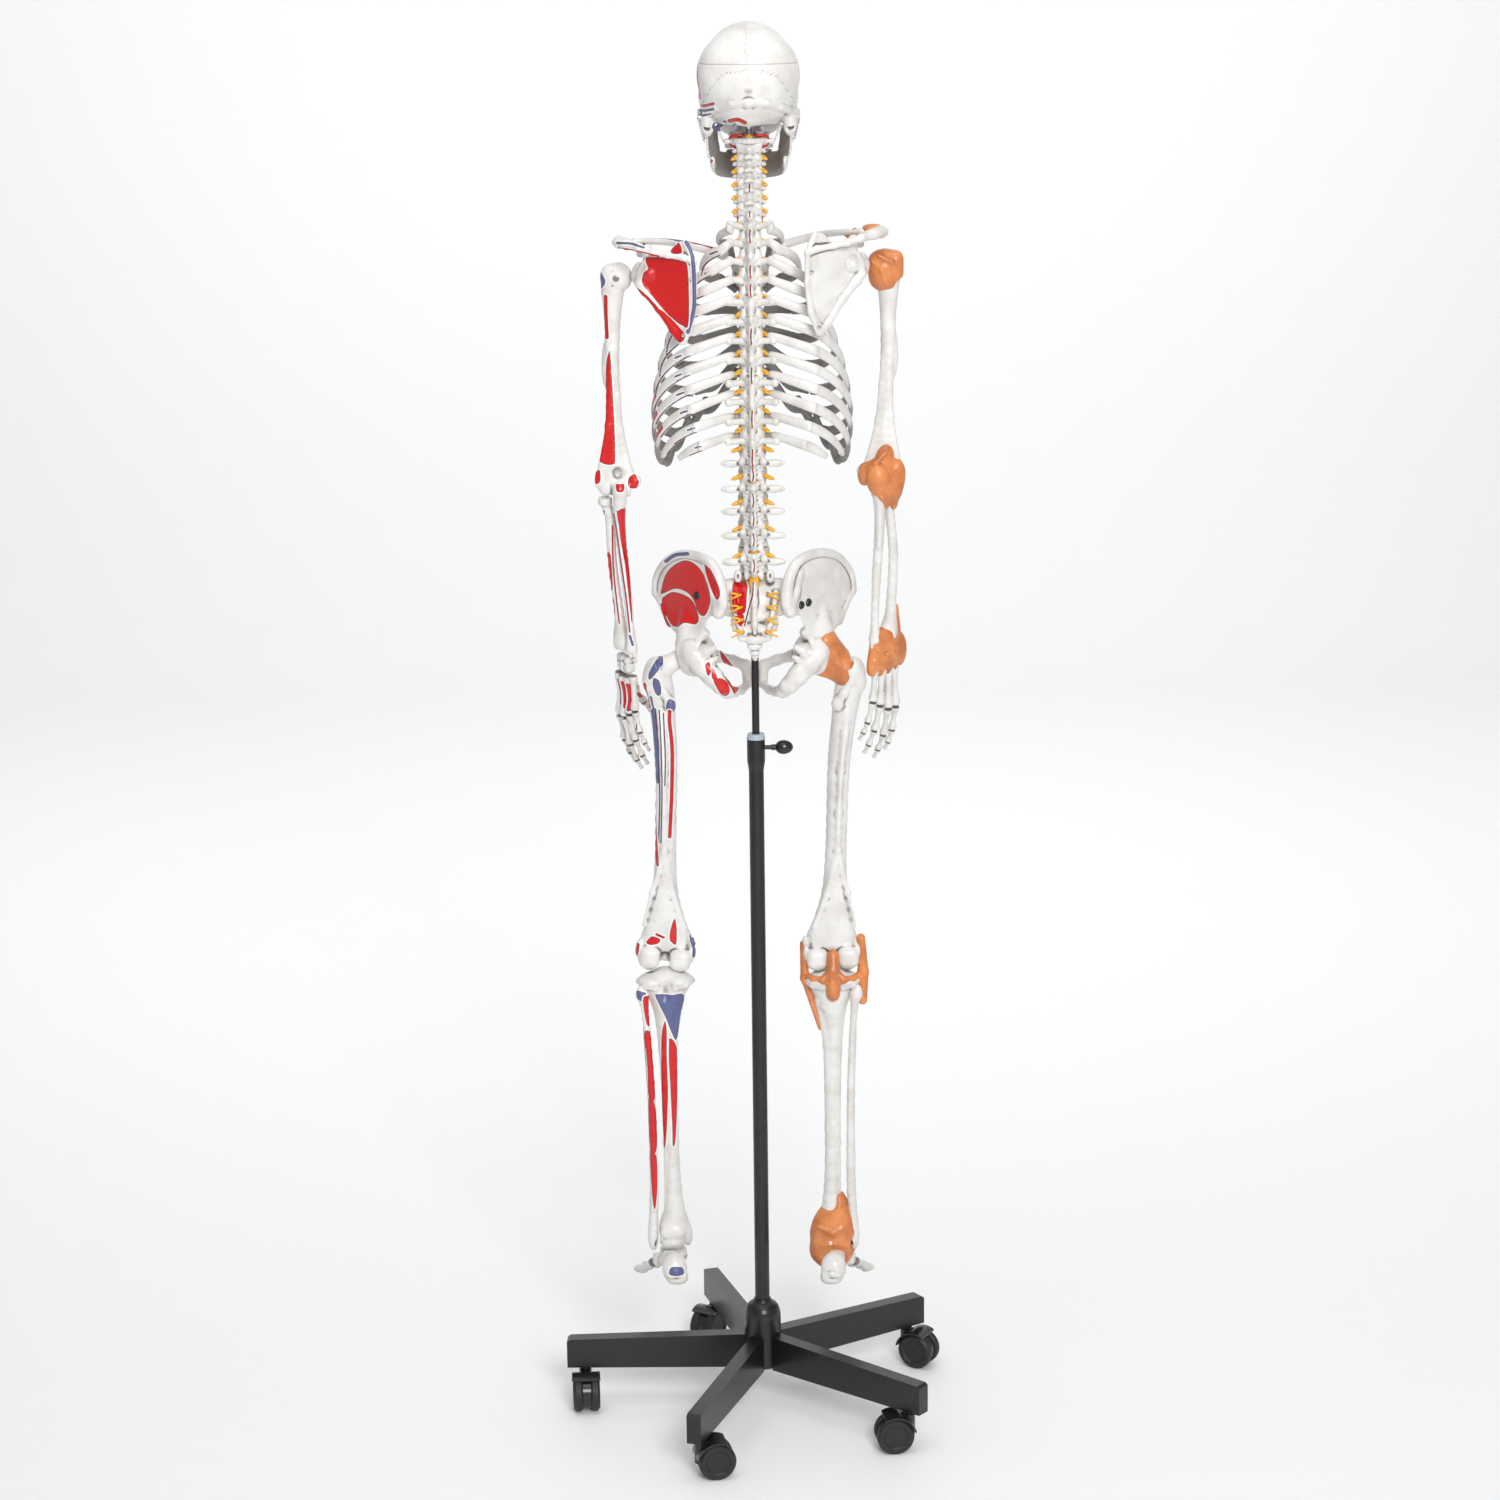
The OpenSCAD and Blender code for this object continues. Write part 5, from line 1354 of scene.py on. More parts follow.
def scapula(side):
    c = Clay((62, -18, 1472), (184, 106, 1622))
    edge = [(81, 1609), (73, 1594), (69, 1560), (71, 1520), (79, 1488), (87, 1478), (96, 1485),
            (105, 1505),
            (120, 1527), (138, 1546), (144, 1560), (140, 1576), (130, 1588), (114, 1593), (100, 1597),
            (92, 1606)]
    c.put(plate(spline(edge + edge[:1], 50)[:-1], blade_depth, lambda x, z: 2.1 + 0 * x, (30, 104), 3), 0)

    def on_blade(x, z, lift=0.0):
        return vec(x, float(blade_depth(np.array(float(x)), np.array(float(z)))) + lift, z)

    ridge(c, [on_blade(80, 1605), on_blade(71, 1582), on_blade(70, 1545), on_blade(75, 1508),
              on_blade(86, 1483)],
          [3, 2.6, 2.6, 3, 4.6], 4)
    ridge(c, [on_blade(87, 1482), on_blade(98, 1494), on_blade(116, 1521), on_blade(134, 1543),
              on_blade(141, 1552)], [4.4, 4.2, 4.6, 5.5, 6.5], 5)
    spine_line = [on_blade(71, 1584, 2), on_blade(84, 1588, 6), on_blade(104, 1591, 12),
                  on_blade(122, 1594, 18),
                  vec(140, 70, 1599), vec(156, 54, 1602), vec(166, 34, 1603), vec(165, 16, 1602)]
    ridge(c, spine_line, [2.4, 3.2, 3.6, 4, 5, 6.5, 7.5, 5.5], 4)
    for k in range(len(spine_line) - 3):
        a, b = spine_line[k], spine_line[k + 1]
        for f in (0.3, 0.6, 0.85):
            pa = on_blade(min(a[0], 138), a[2] - 4 * f)
            pb = on_blade(min(b[0], 138), b[2] - 4 * f)
            c.put(rod(mix(pa, a, f), mix(pb, b, f), 2.4), 3)
    c.put(egg((159, 42, 1603), (14, 22, 5.4), turn((0, 0, 1), 24)), 4)
    c.put(egg((142, 36, 1561), (8, 10, 17)), 6)
    c.put(rod(on_blade(128, 1566), (141, 36, 1562), 8, 10), 5)
    ridge(c, [(130, 42, 1578), (131, 20, 1592), (136, 2, 1591), (141, -9, 1584)], [7, 6, 5.5, 5], 4)
    c.cut(ball(SHOULDER_CENTRE, 25.2), 1.5)
    c.cut(rod((118, 14, 1557), (200, 14, 1557), 4.4), 0.6)
    red = (patch([(129, 1586), (104, 1586), (87, 1584), (79, 1574), (79, 1507), (87, 1502), (106, 1516),
                  (125, 1538), (137, 1553), (135, 1566), (129, 1572), (132, 1580)], "back", -0.1),
           stripe([(152, 1548), (138, 1540), (120, 1522)], 5.5, "back", -0.2),
           patch([(123, 1520), (113, 1520), (87, 1495), (84, 1487), (92, 1481), (108, 1499)], "back",
                 -0.1),
           stripe([(166, 1597), (142, 1594), (116, 1589)], 3.6, "back", -0.4),
           patch([(90, 1606), (99, 1597), (98, 1593), (86, 1594)], "back", -0.2),
           patch([(76, 1500), (80, 1560), (96, 1590), (132, 1572), (118, 1534), (92, 1500)], "front",
                 0.2),
           stripe([(136, 1597), (134, 1588)], 6, "front", -0.2))
    blue = (stripe([(80, 1607), (73, 1592), (71, 1560), (72, 1524), (80, 1494)], 4.4, "back", -0.6),
            stripe([(86, 1590), (110, 1595), (140, 1605), (160, 1611)], 3.4, "top", 0.1),
            stripe([(168, 1604), (150, 1604), (134, 1600)], 2.4, "back", -0.4))
    place = Place((0, 0, SHOULDER_LIFT[side]), mirror=side == RIGHT)
    side_bone(side, "scapula", "cast", "torso", c, place, red, blue)


def clavicles():
    path = [(22, -62, 1572), (34, -67, 1575), (48, -69, 1580), (75, -62, 1588), (92, -46, 1593),
            (108, -26, 1597),
            (126, -4, 1600), (150, 18, 1603)]
    sizes = [(6.6, 8.5), (6.2, 7), (5.2, 5.8), (4.8, 5.2), (5, 4.8), (5.8, 4.6), (7.4, 4.2), (8.4, 3.8)]
    blue = stripe([(86, -50), (110, -22), (134, 4)], 5, "top", 0.2)
    red = stripe([(34, -66), (60, -66), (80, -58)], 4, "top", 0.2)
    for side in (LEFT, RIGHT):
        lifted = [vec(*p) + vec(0, 0, SHOULDER_LIFT[side]) for p in path]
        paint = painter((red,), (blue,)) if side == LEFT else None
        hoses(named(side, "clavicle"), "torso", [(lifted, sizes)], ("clavicles",) if side == LEFT else (),
              paint=paint, mirror=side == RIGHT, sides=18, count=50)


SCREW_FINE = 0.5


def screws():
    """Pelvis bolts and shoulder-blade screws with recessed heads."""
    for side in (LEFT, RIGHT):
        s = OUTWARD[side]
        bolts = ((74, 1142),) if side == LEFT else ((60, 1131), (69.5, 1132))
        for k, (x, z) in enumerate(bolts):
            y = float(wing_depth(np.array(float(x)), np.array(float(z)))) + float(wing_thickness(x, z))
            screw(f"{SIDES[side]}_pelvis_bolt_{k}", vec(s * x, y, z), vec(s * 0.62, 0.78, 0.0), 5.4, 2.8,
                  20,
                  side == LEFT and k == 0)
        for k, p in enumerate([(77, 93, 1560), (86, 87, 1490)]):
            at = vec(s * p[0], p[1] + 1, p[2] + SHOULDER_LIFT[side])
            screw(f"{SIDES[side]}_blade_screw_{k}", at, vec(0, 1, 0), 2.5, 1.4, 11, False)


def screw(name, at, n, r, high, length, replacing):
    """A bolt with a recessed head, sunk along its own direction n."""
    n = unit(n)
    c = Clay(at - r - 6 - abs(n) * length, at + r + 6, SCREW_FINE)
    c.put(drum(at + n * high / 2, n, r, high / 2, 0.9), 0)
    c.put(drum(at - n * length / 2, n, r * 0.5, length / 2, 0.3), 0.4)
    c.cut(drum(at + n * high, n, r * 0.45, high * 0.55, 0.2), 0.3)
    p, f, _ = cast(c)
    finish_piece(make_mesh(name, p, f), "torso", ("torso_fasteners",) if replacing else (),
                 "dark bolt" if r > 4 else "steel")


def symphysis():
    c = Clay((-12, -98, 990), (12, -70, 1040))
    c.put(egg((0, -84, 1013), (6, 7, 17)), 0)
    p, f, _ = cast(c)
    finish_piece(make_mesh("pubic_symphysis", p, f), "torso", (), "cartilage")


# ---------- the head ----------

CUT_Z = 1824.0
CUT_GAP = 0.03
WALL = 6.0
FACE_FINE = 1.0
TOOTH_WIDTHS = (8.5, 6.8, 7.6, 7, 7, 10, 9.5, 8.5)


def vault(c):
    """The braincase's outer shape."""
    c.put(egg((0, -4, 1808), (60, 84, 67)), 0)
    for s in (-1, 1):
        c.put(egg((s * 22, 28, 1809), (43, 46, 51)), 8)
        c.put(egg((s * 28, 0, 1782), (35.5, 54, 36)), 8)
        c.put(egg((s * 24, -50, 1818), (26, 39, 40)), 12)
    c.put(egg((0, 40, 1790), (48, 41, 44)), 10)
    c.put(egg((0, -46, 1812), (44, 45, 46)), 8)


def wiggle(t, size=1.0):
    """The wandering of a suture."""
    return size * (1.5 * np.sin(t * 0.75) + 0.9 * np.sin(t * 1.7 + 1) + 0.5 * np.sin(t * 3.1))


def sutures(p, n):
    """The wandering lines where the plates of the vault meet."""
    x, y, z = p[:, 0], p[:, 1], p[:, 2]
    far = np.full(len(p), FAR)
    sagittal = np.where((y > -28) & (y < 78) & (z > 1817), np.abs(x - 3 - wiggle(y)), far)
    front = -28 + 0.0045 * x**2 - (1872 - z) * 0.16
    coronal = np.where((z > 1786) & (y < 20), np.abs(y - front - wiggle(x + z)), far)
    lambda_z = 1817 - 0.006 * x**2 - 0.9 * np.maximum(np.abs(x) - 36, 0)
    lambdoid = np.where((y > 30) & (z > 1768), np.abs(z - lambda_z - wiggle(x * 1.3, 1.2)) * 0.7, far)
    ring = np.hypot(y + 2, (z - 1764) * 1.05)
    squamous = np.where((np.abs(x) > 44) & (z > 1762), np.abs(ring - 37 - wiggle(y, 0.4)), far)
    return 0.3 + np.minimum.reduce([sagittal, coronal, lambdoid, squamous]) * 0.5


def arch_place(t, half, depth, middle):
    """A place on the dental arch, t from -1 to 1."""
    a = t * np.radians(82)
    return half * np.sin(a), middle - depth * np.cos(a), a


def teeth(c, z_root, z_tip, half, depth, middle):
    """One arch of sixteen teeth; the third from the middle is the longer canine."""
    total = sum(TOOTH_WIDTHS)
    for s in (-1, 1):
        run_along = 0.0
        for k, w in enumerate(TOOTH_WIDTHS):
            x, y, a = arch_place(s * (run_along + w / 2) / total, half, depth, middle)
            run_along += w
            axes = turn((0, 0, 1), np.degrees(a))
            thick = 3.0 if k < 3 else 4.0 if k < 5 else 5.0
            high = abs(z_root - z_tip) / 2 + (1.2 if k == 2 else 0)
            c.put(slab((x, y, (z_root + z_tip) / 2), (w * 0.46, thick, high), 2.2, axes), 0.5)
            if k > 3:
                c.cut(ball((x, y, z_tip + (1.4 if z_tip < z_root else -1.4) * -1.6), 1.9), 1)


def head():
    """The skull as one block, hollowed and then cut into base and cap."""
    c = Clay((-70, -106, 1708), (70, 88, 1880), FACE_FINE)
    vault(c)
    solid = c.d.copy()
    c.cut(slab((0, 20, 1720), (60, 56, 23), 6, turn((1, 0, 0), -3)), 8)
    for s in (-1, 1):
        c.cut(egg((s * 70, -40, 1778), (17, 26, 26)), 8)
        c.put(egg((s * 24, -83, 1797), (19, 9, 7)), 6)
        c.put(egg((s * 48, -72, 1789), (6, 9, 10)), 5)
        c.put(rod((s * 49, -72, 1784), (s * 47, -68, 1764), 5, 6), 4)
        c.put(egg((s * 41, -70, 1757), (15, 12, 12)), 6)
        c.put(egg((s * 26, -74, 1748), (15, 15, 18)), 6)
        ridge(c, [(s * 48, -62, 1757), (s * 57, -46, 1758), (s * 62, -24, 1760), (s * 61, -6, 1762),
                  (s * 57, 8, 1763)], [6, 4, 3.4, 3.8, 4.5], 3)
    c.put(egg((0, -68, 1740), (27, 22, 18)), 8)
    c.put(egg((0, -66, 1727), (26, 22, 8)), 4)
    c.put(egg((0, -86, 1795), (10, 7, 8)), 5)
    ridge(c, [(0, -90, 1790), (0, -95, 1778), (0, -99, 1768)], [6, 5, 4.5], 4)
    for s in (-1, 1):
        c.cut(egg((s * 31, -92, 1776), (17.5, 18, 15)), 3)
        c.cut(rod((s * 31, -86, 1776), (s * 20, -50, 1772), 14, 5), 4)
        c.cut(egg((s * 28, -96, 1759), (2, 8, 2)), 1)
        c.put(egg((s * 52, 20, 1750), (9, 12, 18), turn((1, 0, 0), -14)), 6)
        c.put(rod((s * 40, 8, 1744), (s * 33, 3, 1726), 2.6, 1.2), 3)
        c.put(egg((s * 14, 0, 1743), (6, 11, 6)), 3)
        c.cut(ball((s * 63, 5, 1758), 4.2), 2)
        c.cut(egg((s * 50, -9, 1751), (11, 7.4, 8)), 2)
        c.put(rod((s * 14, -36, 1746), (s * 13, -40, 1722), 6, 4), 4)
        ridge(c, [(0, 80, 1777), (s * 22, 73, 1776), (s * 40, 56, 1770), (s * 52, 34, 1764)],
              [2.6, 2.2, 2.2, 3], 5)
        ridge(c, [(s * 49, -66, 1800), (s * 54, -42, 1820), (s * 55, -8, 1832), (s * 55, 28, 1824),
                  (s * 53, 46, 1800)], [1.6, 0.8, 0.6, 0.6, 0.6], 6)
        c.cut(rod((s * 54, 26, 1744), (s * 44, 30, 1738), 3), 3)
    c.put(egg((0, 79, 1777), (7, 4.5, 5)), 4)
    ridge(c, [(0, 76, 1772), (0, 60, 1756), (0, 36, 1744)], [2.4, 2, 1.6], 4)
    for s in (-1, 1):
        c.cut(egg((s * 5.5, -97, 1756), (5.5, 20, 9)), 2.5)
    c.cut(egg((0, -99, 1764), (5, 16, 9)), 3)
    c.put(rod((0, -86, 1768), (0, -80, 1748), 1.3), 1)
    c.cut(egg((0, 14, 1740), (15, 19, 30)), 3)
    teeth(c, 1721, 1712.2, 27, 27, -62)
    c.cut(egg((0, -58, 1716), (20, 22, 8)), 3)
    c.d = np.maximum(c.d, -(solid + WALL))
    z = (c.low[2] + c.step * np.arange(c.d.shape[2]))[None, None, :]
    cap = Clay((-70, -106, 1708), (70, 88, 1880), c.step)
    cap.d = np.maximum(c.d, CUT_Z + CUT_GAP - z).astype(np.float32)
    c.d = np.maximum(c.d, z - CUT_Z + CUT_GAP).astype(np.float32)
    red = (patch([(-52, 1798), (-44, 1820), (-14, 1836), (14, 1838), (36, 1826), (42, 1800), (30, 1780),
                  (0, 1782),
                  (-34, 1776)], "outer", 0.3),
           stripe([(64, 1771), (56, 1772), (44, 1776)], 3.2, "back", -0.2),
           stripe([(24, 1754), (14, 1756), (5, 1752)], 5, "back", -0.4),
           stripe([(-46, 1762), (-30, 1764), (-14, 1765)], 3, "outer", 0.2))
    blue = (stripe([(64, 1765), (55, 1766), (44, 1769)], 2.4, "back", -0.2),
            stripe([(63, 1759), (56, 1760), (48, 1762)], 2.4, "back", -0.2),
            stripe([(41, 1745.5), (38, 1744)], 10.5, "back", -0.6),
            stripe([(30, 1752), (18, 1751)], 4.4, "back", -0.4),
            stripe([(6, 1768), (14, 1756), (14, 1740)], 4, "outer", 0.4))
    paint = painter([left_only(f) for f in red], [left_only(f) for f in blue], (sutures,))
    bone("skull_cast", "skull", c, None, paint, ("skull",))
    bone("calvarium_cast", "skull_cap", cap, None, paint, ("calvarium",))


def left_only(area):
    """A painted area kept to the skeleton's left half."""
    def limited(p, n):
        return np.maximum(area(p, n), (1 - p[:, 0]) * 2)

    return limited


def jaw_inner_painted_shade(p, n):
    """Painted shade: the jaw's inner face is darker."""
    return np.where((n[:, 1] > 0.1) & (p[:, 1] < -24) | (n[:, 0] * p[:, 0] < -20), 0.3, FAR)


def mandible():
    c = Clay((-62, -100, 1670), (62, 4, 1762), FACE_FINE)
    for s in (-1, 1):
        add_limb(c, [(s * 49, -12, 1742), (s * 47, -17, 1726), (s * 45, -20, 1708)],
                 [(10, 3), (14, 3.4), (16, 4.2)],
                 (1, -0.42 * s, 0), 3, 8)
        c.put(egg((s * 50, -9.5, 1750.5), (8.5, 5, 5)), 3)
        c.put(rod((s * 49, -11, 1748), (s * 48, -14, 1738), 4.4, 3.6), 3)
        c.put(rod((s * 47, -34, 1748), (s * 46, -27, 1730), 2.4, 4.4), 5)
        c.cut(egg((s * 48, -22, 1748), (8, 6.4, 8)), 3)
        add_limb(c, [(s * 45, -18, 1701), (s * 39, -38, 1695), (s * 30, -58, 1692), (s * 18, -75, 1690),
                     (s * 6, -83, 1690), (0, -84, 1690)],
                 [(4.4, 13), (5, 14), (5.2, 14.5), (5.4, 15), (5.6, 15.5), (5.6, 15.5)], (0, 0, 1), 2.5,
                 24)
        c.cut(ball((s * 26, -69, 1694), 2.2), 1.5)
        c.put(egg((s * 45, -14, 1700), (3.6, 7, 7)), 4)
    c.put(egg((0, -88, 1684), (14, 5, 8)), 6)
    teeth(c, 1702, 1711, 25, 25, -61)
    red = (patch([(-30, 1718), (-12, 1722), (-6, 1702), (-24, 1696)], "outer", 0.3),
           stripe([(-60, 1688), (-44, 1690)], 3, "outer", 0.2))
    blue = (patch([(-36, 1746), (-28, 1746), (-26, 1732), (-34, 1730)], "outer", 0.3),)
    # The jaw's inner faces get painted shade in the dark colour
    paint = painter([left_only(f) for f in red], [left_only(f) for f in blue], (jaw_inner_painted_shade,))
    bone("mandible_cast", "jaw", c, None, paint, ("mandible",))


def jaw_springs():
    """Two coil springs that stretch between skull and jaw."""
    for side in (LEFT, RIGHT):
        s = OUTWARD[side]
        top, foot = vec(s * 65, -18, 1758), vec(s * 56, -21, 1722)
        axis = unit(foot - top)
        a = unit(np.cross(axis, (0, 1, 0)))
        b = np.cross(axis, a)
        turns, r = 13, 1.9
        t = np.linspace(0, 1, turns * 10)
        coil = [top + (foot - top) * (0.12 + 0.76 * k) + r * (a * np.cos(2 * np.pi * turns * k)
                                                             + b * np.sin(2 * np.pi * turns * k)) for k in t]
        path = [top + a * r * 0.2, top + (foot - top) * 0.06] + coil + [top + (foot - top) * 0.94, foot]
        p, f = hose(path, [(0.5, 0.5)] * len(path), up=(0.1, 1, 0.05), sides=8, count=len(path) * 2)
        obj = make_mesh(named(side, "jaw_spring"), p, f)
        obj.data.materials.append(MATERIAL["wire"])
        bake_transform(obj)
        if side == LEFT:
            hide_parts("jaw_springs")


# ---------- arms ----------

UPPER_ARM = 272.0
ULNA_END = vec(-10, 4, -224)


def across(side):
    """The direction across the hand, towards the thumb."""
    a = np.radians(HAND_TURN[side])
    return vec(np.cos(a), -np.sin(a), 0)


def humerus(side):
    c = Clay((-38, -26, -288), (32, 26, 28))
    c.put(ball((-1, 0, 0), 19.5), 0)
    c.put(egg((10, 3, 0), (11, 13, 16)), 4)
    c.put(egg((4, -14, -3), (6, 6, 10)), 4)
    add_limb(c, [(5, 0, -12), (5, 0, -32), (5, 0, -60), (5, 0, -110), (3.5, 0, -160), (2, 0, -200),
                 (1, 1, -236),
                 (0, 1, -258), (-1, 1, -268)],
             [(15, 15), (12, 12), (9.8, 10.4), (8.8, 9.6), (8.4, 9.2), (9.4, 8.6), (15, 7.4), (22, 6.4),
              (22, 7)],
             blend=3, count=28)
    c.put(egg((14, -2, -112), (4.5, 6, 26)), 6)
    ridge(c, [(9, 2, -50), (9, 5, -84), (7, 7, -124), (10, 5, -190), (19, 1, -250)],
          [0.6, 1.8, 2, 2.2, 2.6], 6)
    ridge(c, [(1, 3, -110), (-3, 4, -150), (-7, 2, -195), (-19, 1, -250)], [0.6, 1.8, 2.4, 3.2], 6)
    c.put(egg((-26, 3, -263), (8, 6.5, 9), turn((0, 1, 0), -20)), 5)
    c.put(egg((20, 0, -261), (6.5, 6, 10)), 5)
    c.put(drum((-8.5, 0, -UPPER_ARM), (1, 0, 0), 11, 12, 1.5), 3)
    c.put(ball((11, -1, -UPPER_ARM), 10.6), 3)
    c.cut(egg((-8, 14, -UPPER_ARM - 9), (3.4, 12, 8)), 3)
    c.cut(egg((-4, 9, -252), (9, 6.5, 9)), 3)
    c.cut(egg((-4, -8, -254), (8, 5, 7)), 3)
    c.cut(rod((8, -17, 13), (6, -12, -36), 2.8, 2), 3)
    c.cut(slab((-17, 0, 22), (24, 4, 30), 0.6), 0.8)
    ring_cut(c)
    red = (stripe([(13.5, -24), (13, -50), (11.5, -76)], 4.5, "back", -0.4),
           patch([(8, -92), (12, -110), (13, -150), (17, -200), (22, -234), (3, -240), (0, -224),
                  (3, -160)],
                 "back", -0.2),
           patch([(-31, -262), (-25, -253), (-18, -258), (-18, -268), (-26, -272)], "back", -0.1),
           patch([(18, -80), (12, -120), (10, -190), (16, -240), (-10, -240), (-6, -150), (2, -110)],
                 "front", 0.3),
           patch([(25, -252), (20, -248), (19, -262), (25, -266)], "back", -0.2))
    blue = (patch([(22, 8), (26, -4), (20, -14), (14, -4)], "back", -0.1),
            stripe([(14, -30), (16, -90), (12, -130)], 4, "front", 0.0))
    side_bone(side, "humerus", "cast", named(side, "upper_arm"), c, at_shoulder(side), red, blue)


def ring_cut(c):
    """The groove round the anatomical neck."""
    for a in range(0, 360, 30):
        d = vec(0, np.cos(np.radians(a)), np.sin(np.radians(a)))
        c.cut(ball(vec(5, 0, 0) + 20.5 * d if d[2] < 0.6 else vec(9, 0, 19), 1.6), 2)


def ulna(side):
    c = Clay((-26, -20, -240), (10, 34, 18), FINE * 0.85)
    c.put(egg((-7, 18.5, 3), (9, 8.5, 12)), 0)
    c.put(rod((-7, 19, 0), (-4, 10, -28), 9, 8.5), 4)
    c.put(egg((-6, -4, -19), (8, 9, 6.5)), 4)
    c.put(egg((-5, 4, -24), (8, 10, 9)), 5)
    add_limb(c, [(-4, 8, -26), (-4, 7.5, -50), (-5, 7, -80), (-8, 6, -130), (-10, 4, -190),
                 (-10, 4, -222)],
             [(8, 9), (6.8, 8.2), (6.2, 7.4), (5.8, 6.4), (5, 5.2), (7, 7)], blend=2, count=20)
    c.put(ball((-10, 4, -222), 8), 3)
    c.put(rod((-13, 8, -222), (-14, 9, -231), 3.4, 2.4), 2)
    c.cut(drum((-1, 0, 0), (1, 0, 0), 11.5, 42, 0.5), 0.5)
    c.put(rod((-4, 15, -10), (-5, 14, -90), 2.4), 4)
    c.cut(ball((4, 4, -22), 5), 2)
    red = (patch([(-12, -22), (-4, -26), (-4, -60), (-8, -100), (-11, -160), (-13, -184), (-13, -120),
                  (-11, -60)],
                 "back", -0.4),
           stripe([(3, -30), (0, -60), (-3, -100), (-7, -150), (-9, -196)], 1.8, "back", -0.2),
           stripe([(-3, -26), (-4, -40)], 3, "back", -0.2),
           patch([(-12, 12), (-3, 12), (-4, 4), (-12, 4)], "back", 0.0),
           patch([(-12, -60), (0, -60), (-4, -150), (-12, -150)], "front", 0.2))
    blue = (stripe([(-9, -202), (-12, -214)], 3),)
    side_bone(side, "ulna", "cast", named(side, "forearm"), c, at_elbow(side), red, blue)


def radius(side):
    reach = across(side)
    dorsal = vec(-reach[1], reach[0], 0)
    end = ULNA_END + 27 * reach
    low = np.minimum(vec(-4, -14, -240), end - 20)
    high = np.maximum(vec(28, 14, -8), end + 20)
    high[2] = -8
    c = Clay(low, high, FINE * 0.85)
    start = vec(9, -1, -44)
    c.put(drum((14, -1, -17.6), (0, 0, 1), 9.2, 4.6, 1.6), 0)
    c.cut(ball((12, -1, 0), 13.6), 1)
    bow = 2.0 if side == LEFT else 5.0
    a, b = mix(start, end, 0.35) + vec(bow, -3, 0), mix(start, end, 0.75) + vec(bow - 3, 0, 0)
    add_limb(c, [(14, -1, -20), (11, -1, -30), start, a, b, end + vec(0, 0, 16)],
             [(6.4, 6.4), (5.6, 5.8), (5.8, 6), (6.4, 5.6), (7, 6.2), (10, 8)], tuple(dorsal), 2, 24)
    add_limb(c, [end + vec(0, 0, 20), end - 2 * reach + vec(0, 0, 8), end - 3 * reach + vec(0, 0, -1)],
             [(9, 8), (12, 9.4), (13.6, 10)], tuple(dorsal), 3, 8)
    c.put(egg((8, -3, -40), (4.5, 5, 8.5)), 3)
    c.put(rod(end + 9 * reach, end + 11 * reach + vec(0, 0, -8), 4.6, 2.8), 3)
    c.put(egg(end - 2 * reach + 9 * dorsal + vec(0, 0, 4), (2.6, 2.6, 7)), 3)
    c.cut(egg(end - 4 * reach + vec(0, 0, -12), (14, 14, 11)), 2)
    red = (patch([(11, -92), (15, -90), (17, -120), (15, -142), (11, -138)], "back", -0.4),
           patch([(12, -152), (16, -149), (16, -172), (11, -182), (10, -164)], "back", -0.4),
           stripe([(6, -50), (8, -90), (8, -130), (5, -190)], 1.8, "back", -0.3),
           patch([(8, -60), (22, -70), (18, -150), (8, -150)], "front", 0.2))
    blue = (stripe([(16, -30), (20, -50)], 2.4, "back", 0.0),)
    side_bone(side, "radius", "cast", named(side, "forearm"), c, at_elbow(side), red, blue)


def bracket(side):
    """The steel tongue and its cross pin in the upper arm's slot."""
    c = Clay((-44, -24, -10), (10, 24, 10), 0.7)
    c.put(drum((0, 0, 0), (0, 1, 0), 6, 3.5, 0.5), 0)
    c.put(slab((-12, 0, 0), (12, 3, 5), 0.6), 1)
    c.put(drum((-26, 0, 0), (1, 0, 0), 3.6, 16, 0.5), 0.8)
    c.put(drum((0, 0, 0), (0, 1, 0), 4.2, 20.5, 0.6), 0.3)
    p, f, _ = cast(c, at_shoulder(side))
    name = named(side, "shoulder_bracket")
    finish_piece(make_mesh(f"{name}_turned", p, f), named(side, "shoulder_joint"), (name,), "steel")


# ---------- hands and feet ----------

FINGER_BASES = ((17, 1, -30), (6, 2, -31), (-5, 1, -30), (-15, -1, -27))
FINGER_LENGTHS = ((65, 39, 23, 17), (63, 43, 27, 18), (56, 40, 26, 18), (52, 32, 18, 16))
FINGER_SPREADS = ((5, 3, 1, 0), (5, 2, -1, -3))
FINGER_CURLS = ((0, 10, 20, 28), (2, 14, 24, 30))
THUMB_SPREAD = (8, 18)
THUMB_BASE = (20, -8, -22)
THUMB_LENGTHS = (44, 30, 23)
THUMB_CURLS = (22, 30, 34)
CARPALS = (((11, -1, -10), (7, 6.2, 5)), ((2.5, 0, -9), (5.2, 6, 4.8)), ((-7, 1, -10), (5.2, 5, 4.8)),
           ((-10, -7, -10), (4, 3.6, 4.4)), ((17, -4, -18.5), (6, 6.4, 5.6)),
           ((9, 1, -20.5), (4.6, 6, 5.6)),
           ((0.5, 1, -18.5), (5.4, 7, 7.6)), ((-8.5, 0, -19), (5.6, 6.6, 6.4)))
KNUCKLES = ((0.0, 0.8), (0.07, 1.04), (0.16, 0.96), (0.3, 0.7), (0.5, 0.58), (0.7, 0.66), (0.84, 0.92),
            (0.94, 1.0),
            (1.0, 0.72))
WIRE_GAP = 0.8


def finger(base, lengths, spread, curls):
    """The joints of a finger that points down, spread sideways and curled forward, in degrees."""
    points = [np.array(base, float)]
    s = np.radians(spread)
    for length, curl in zip(lengths, curls):
        k = np.radians(curl)
        points.append(points[-1] + length * vec(np.sin(s) * np.cos(k), -np.sin(k),
                                                -np.cos(s) * np.cos(k)))
    return points


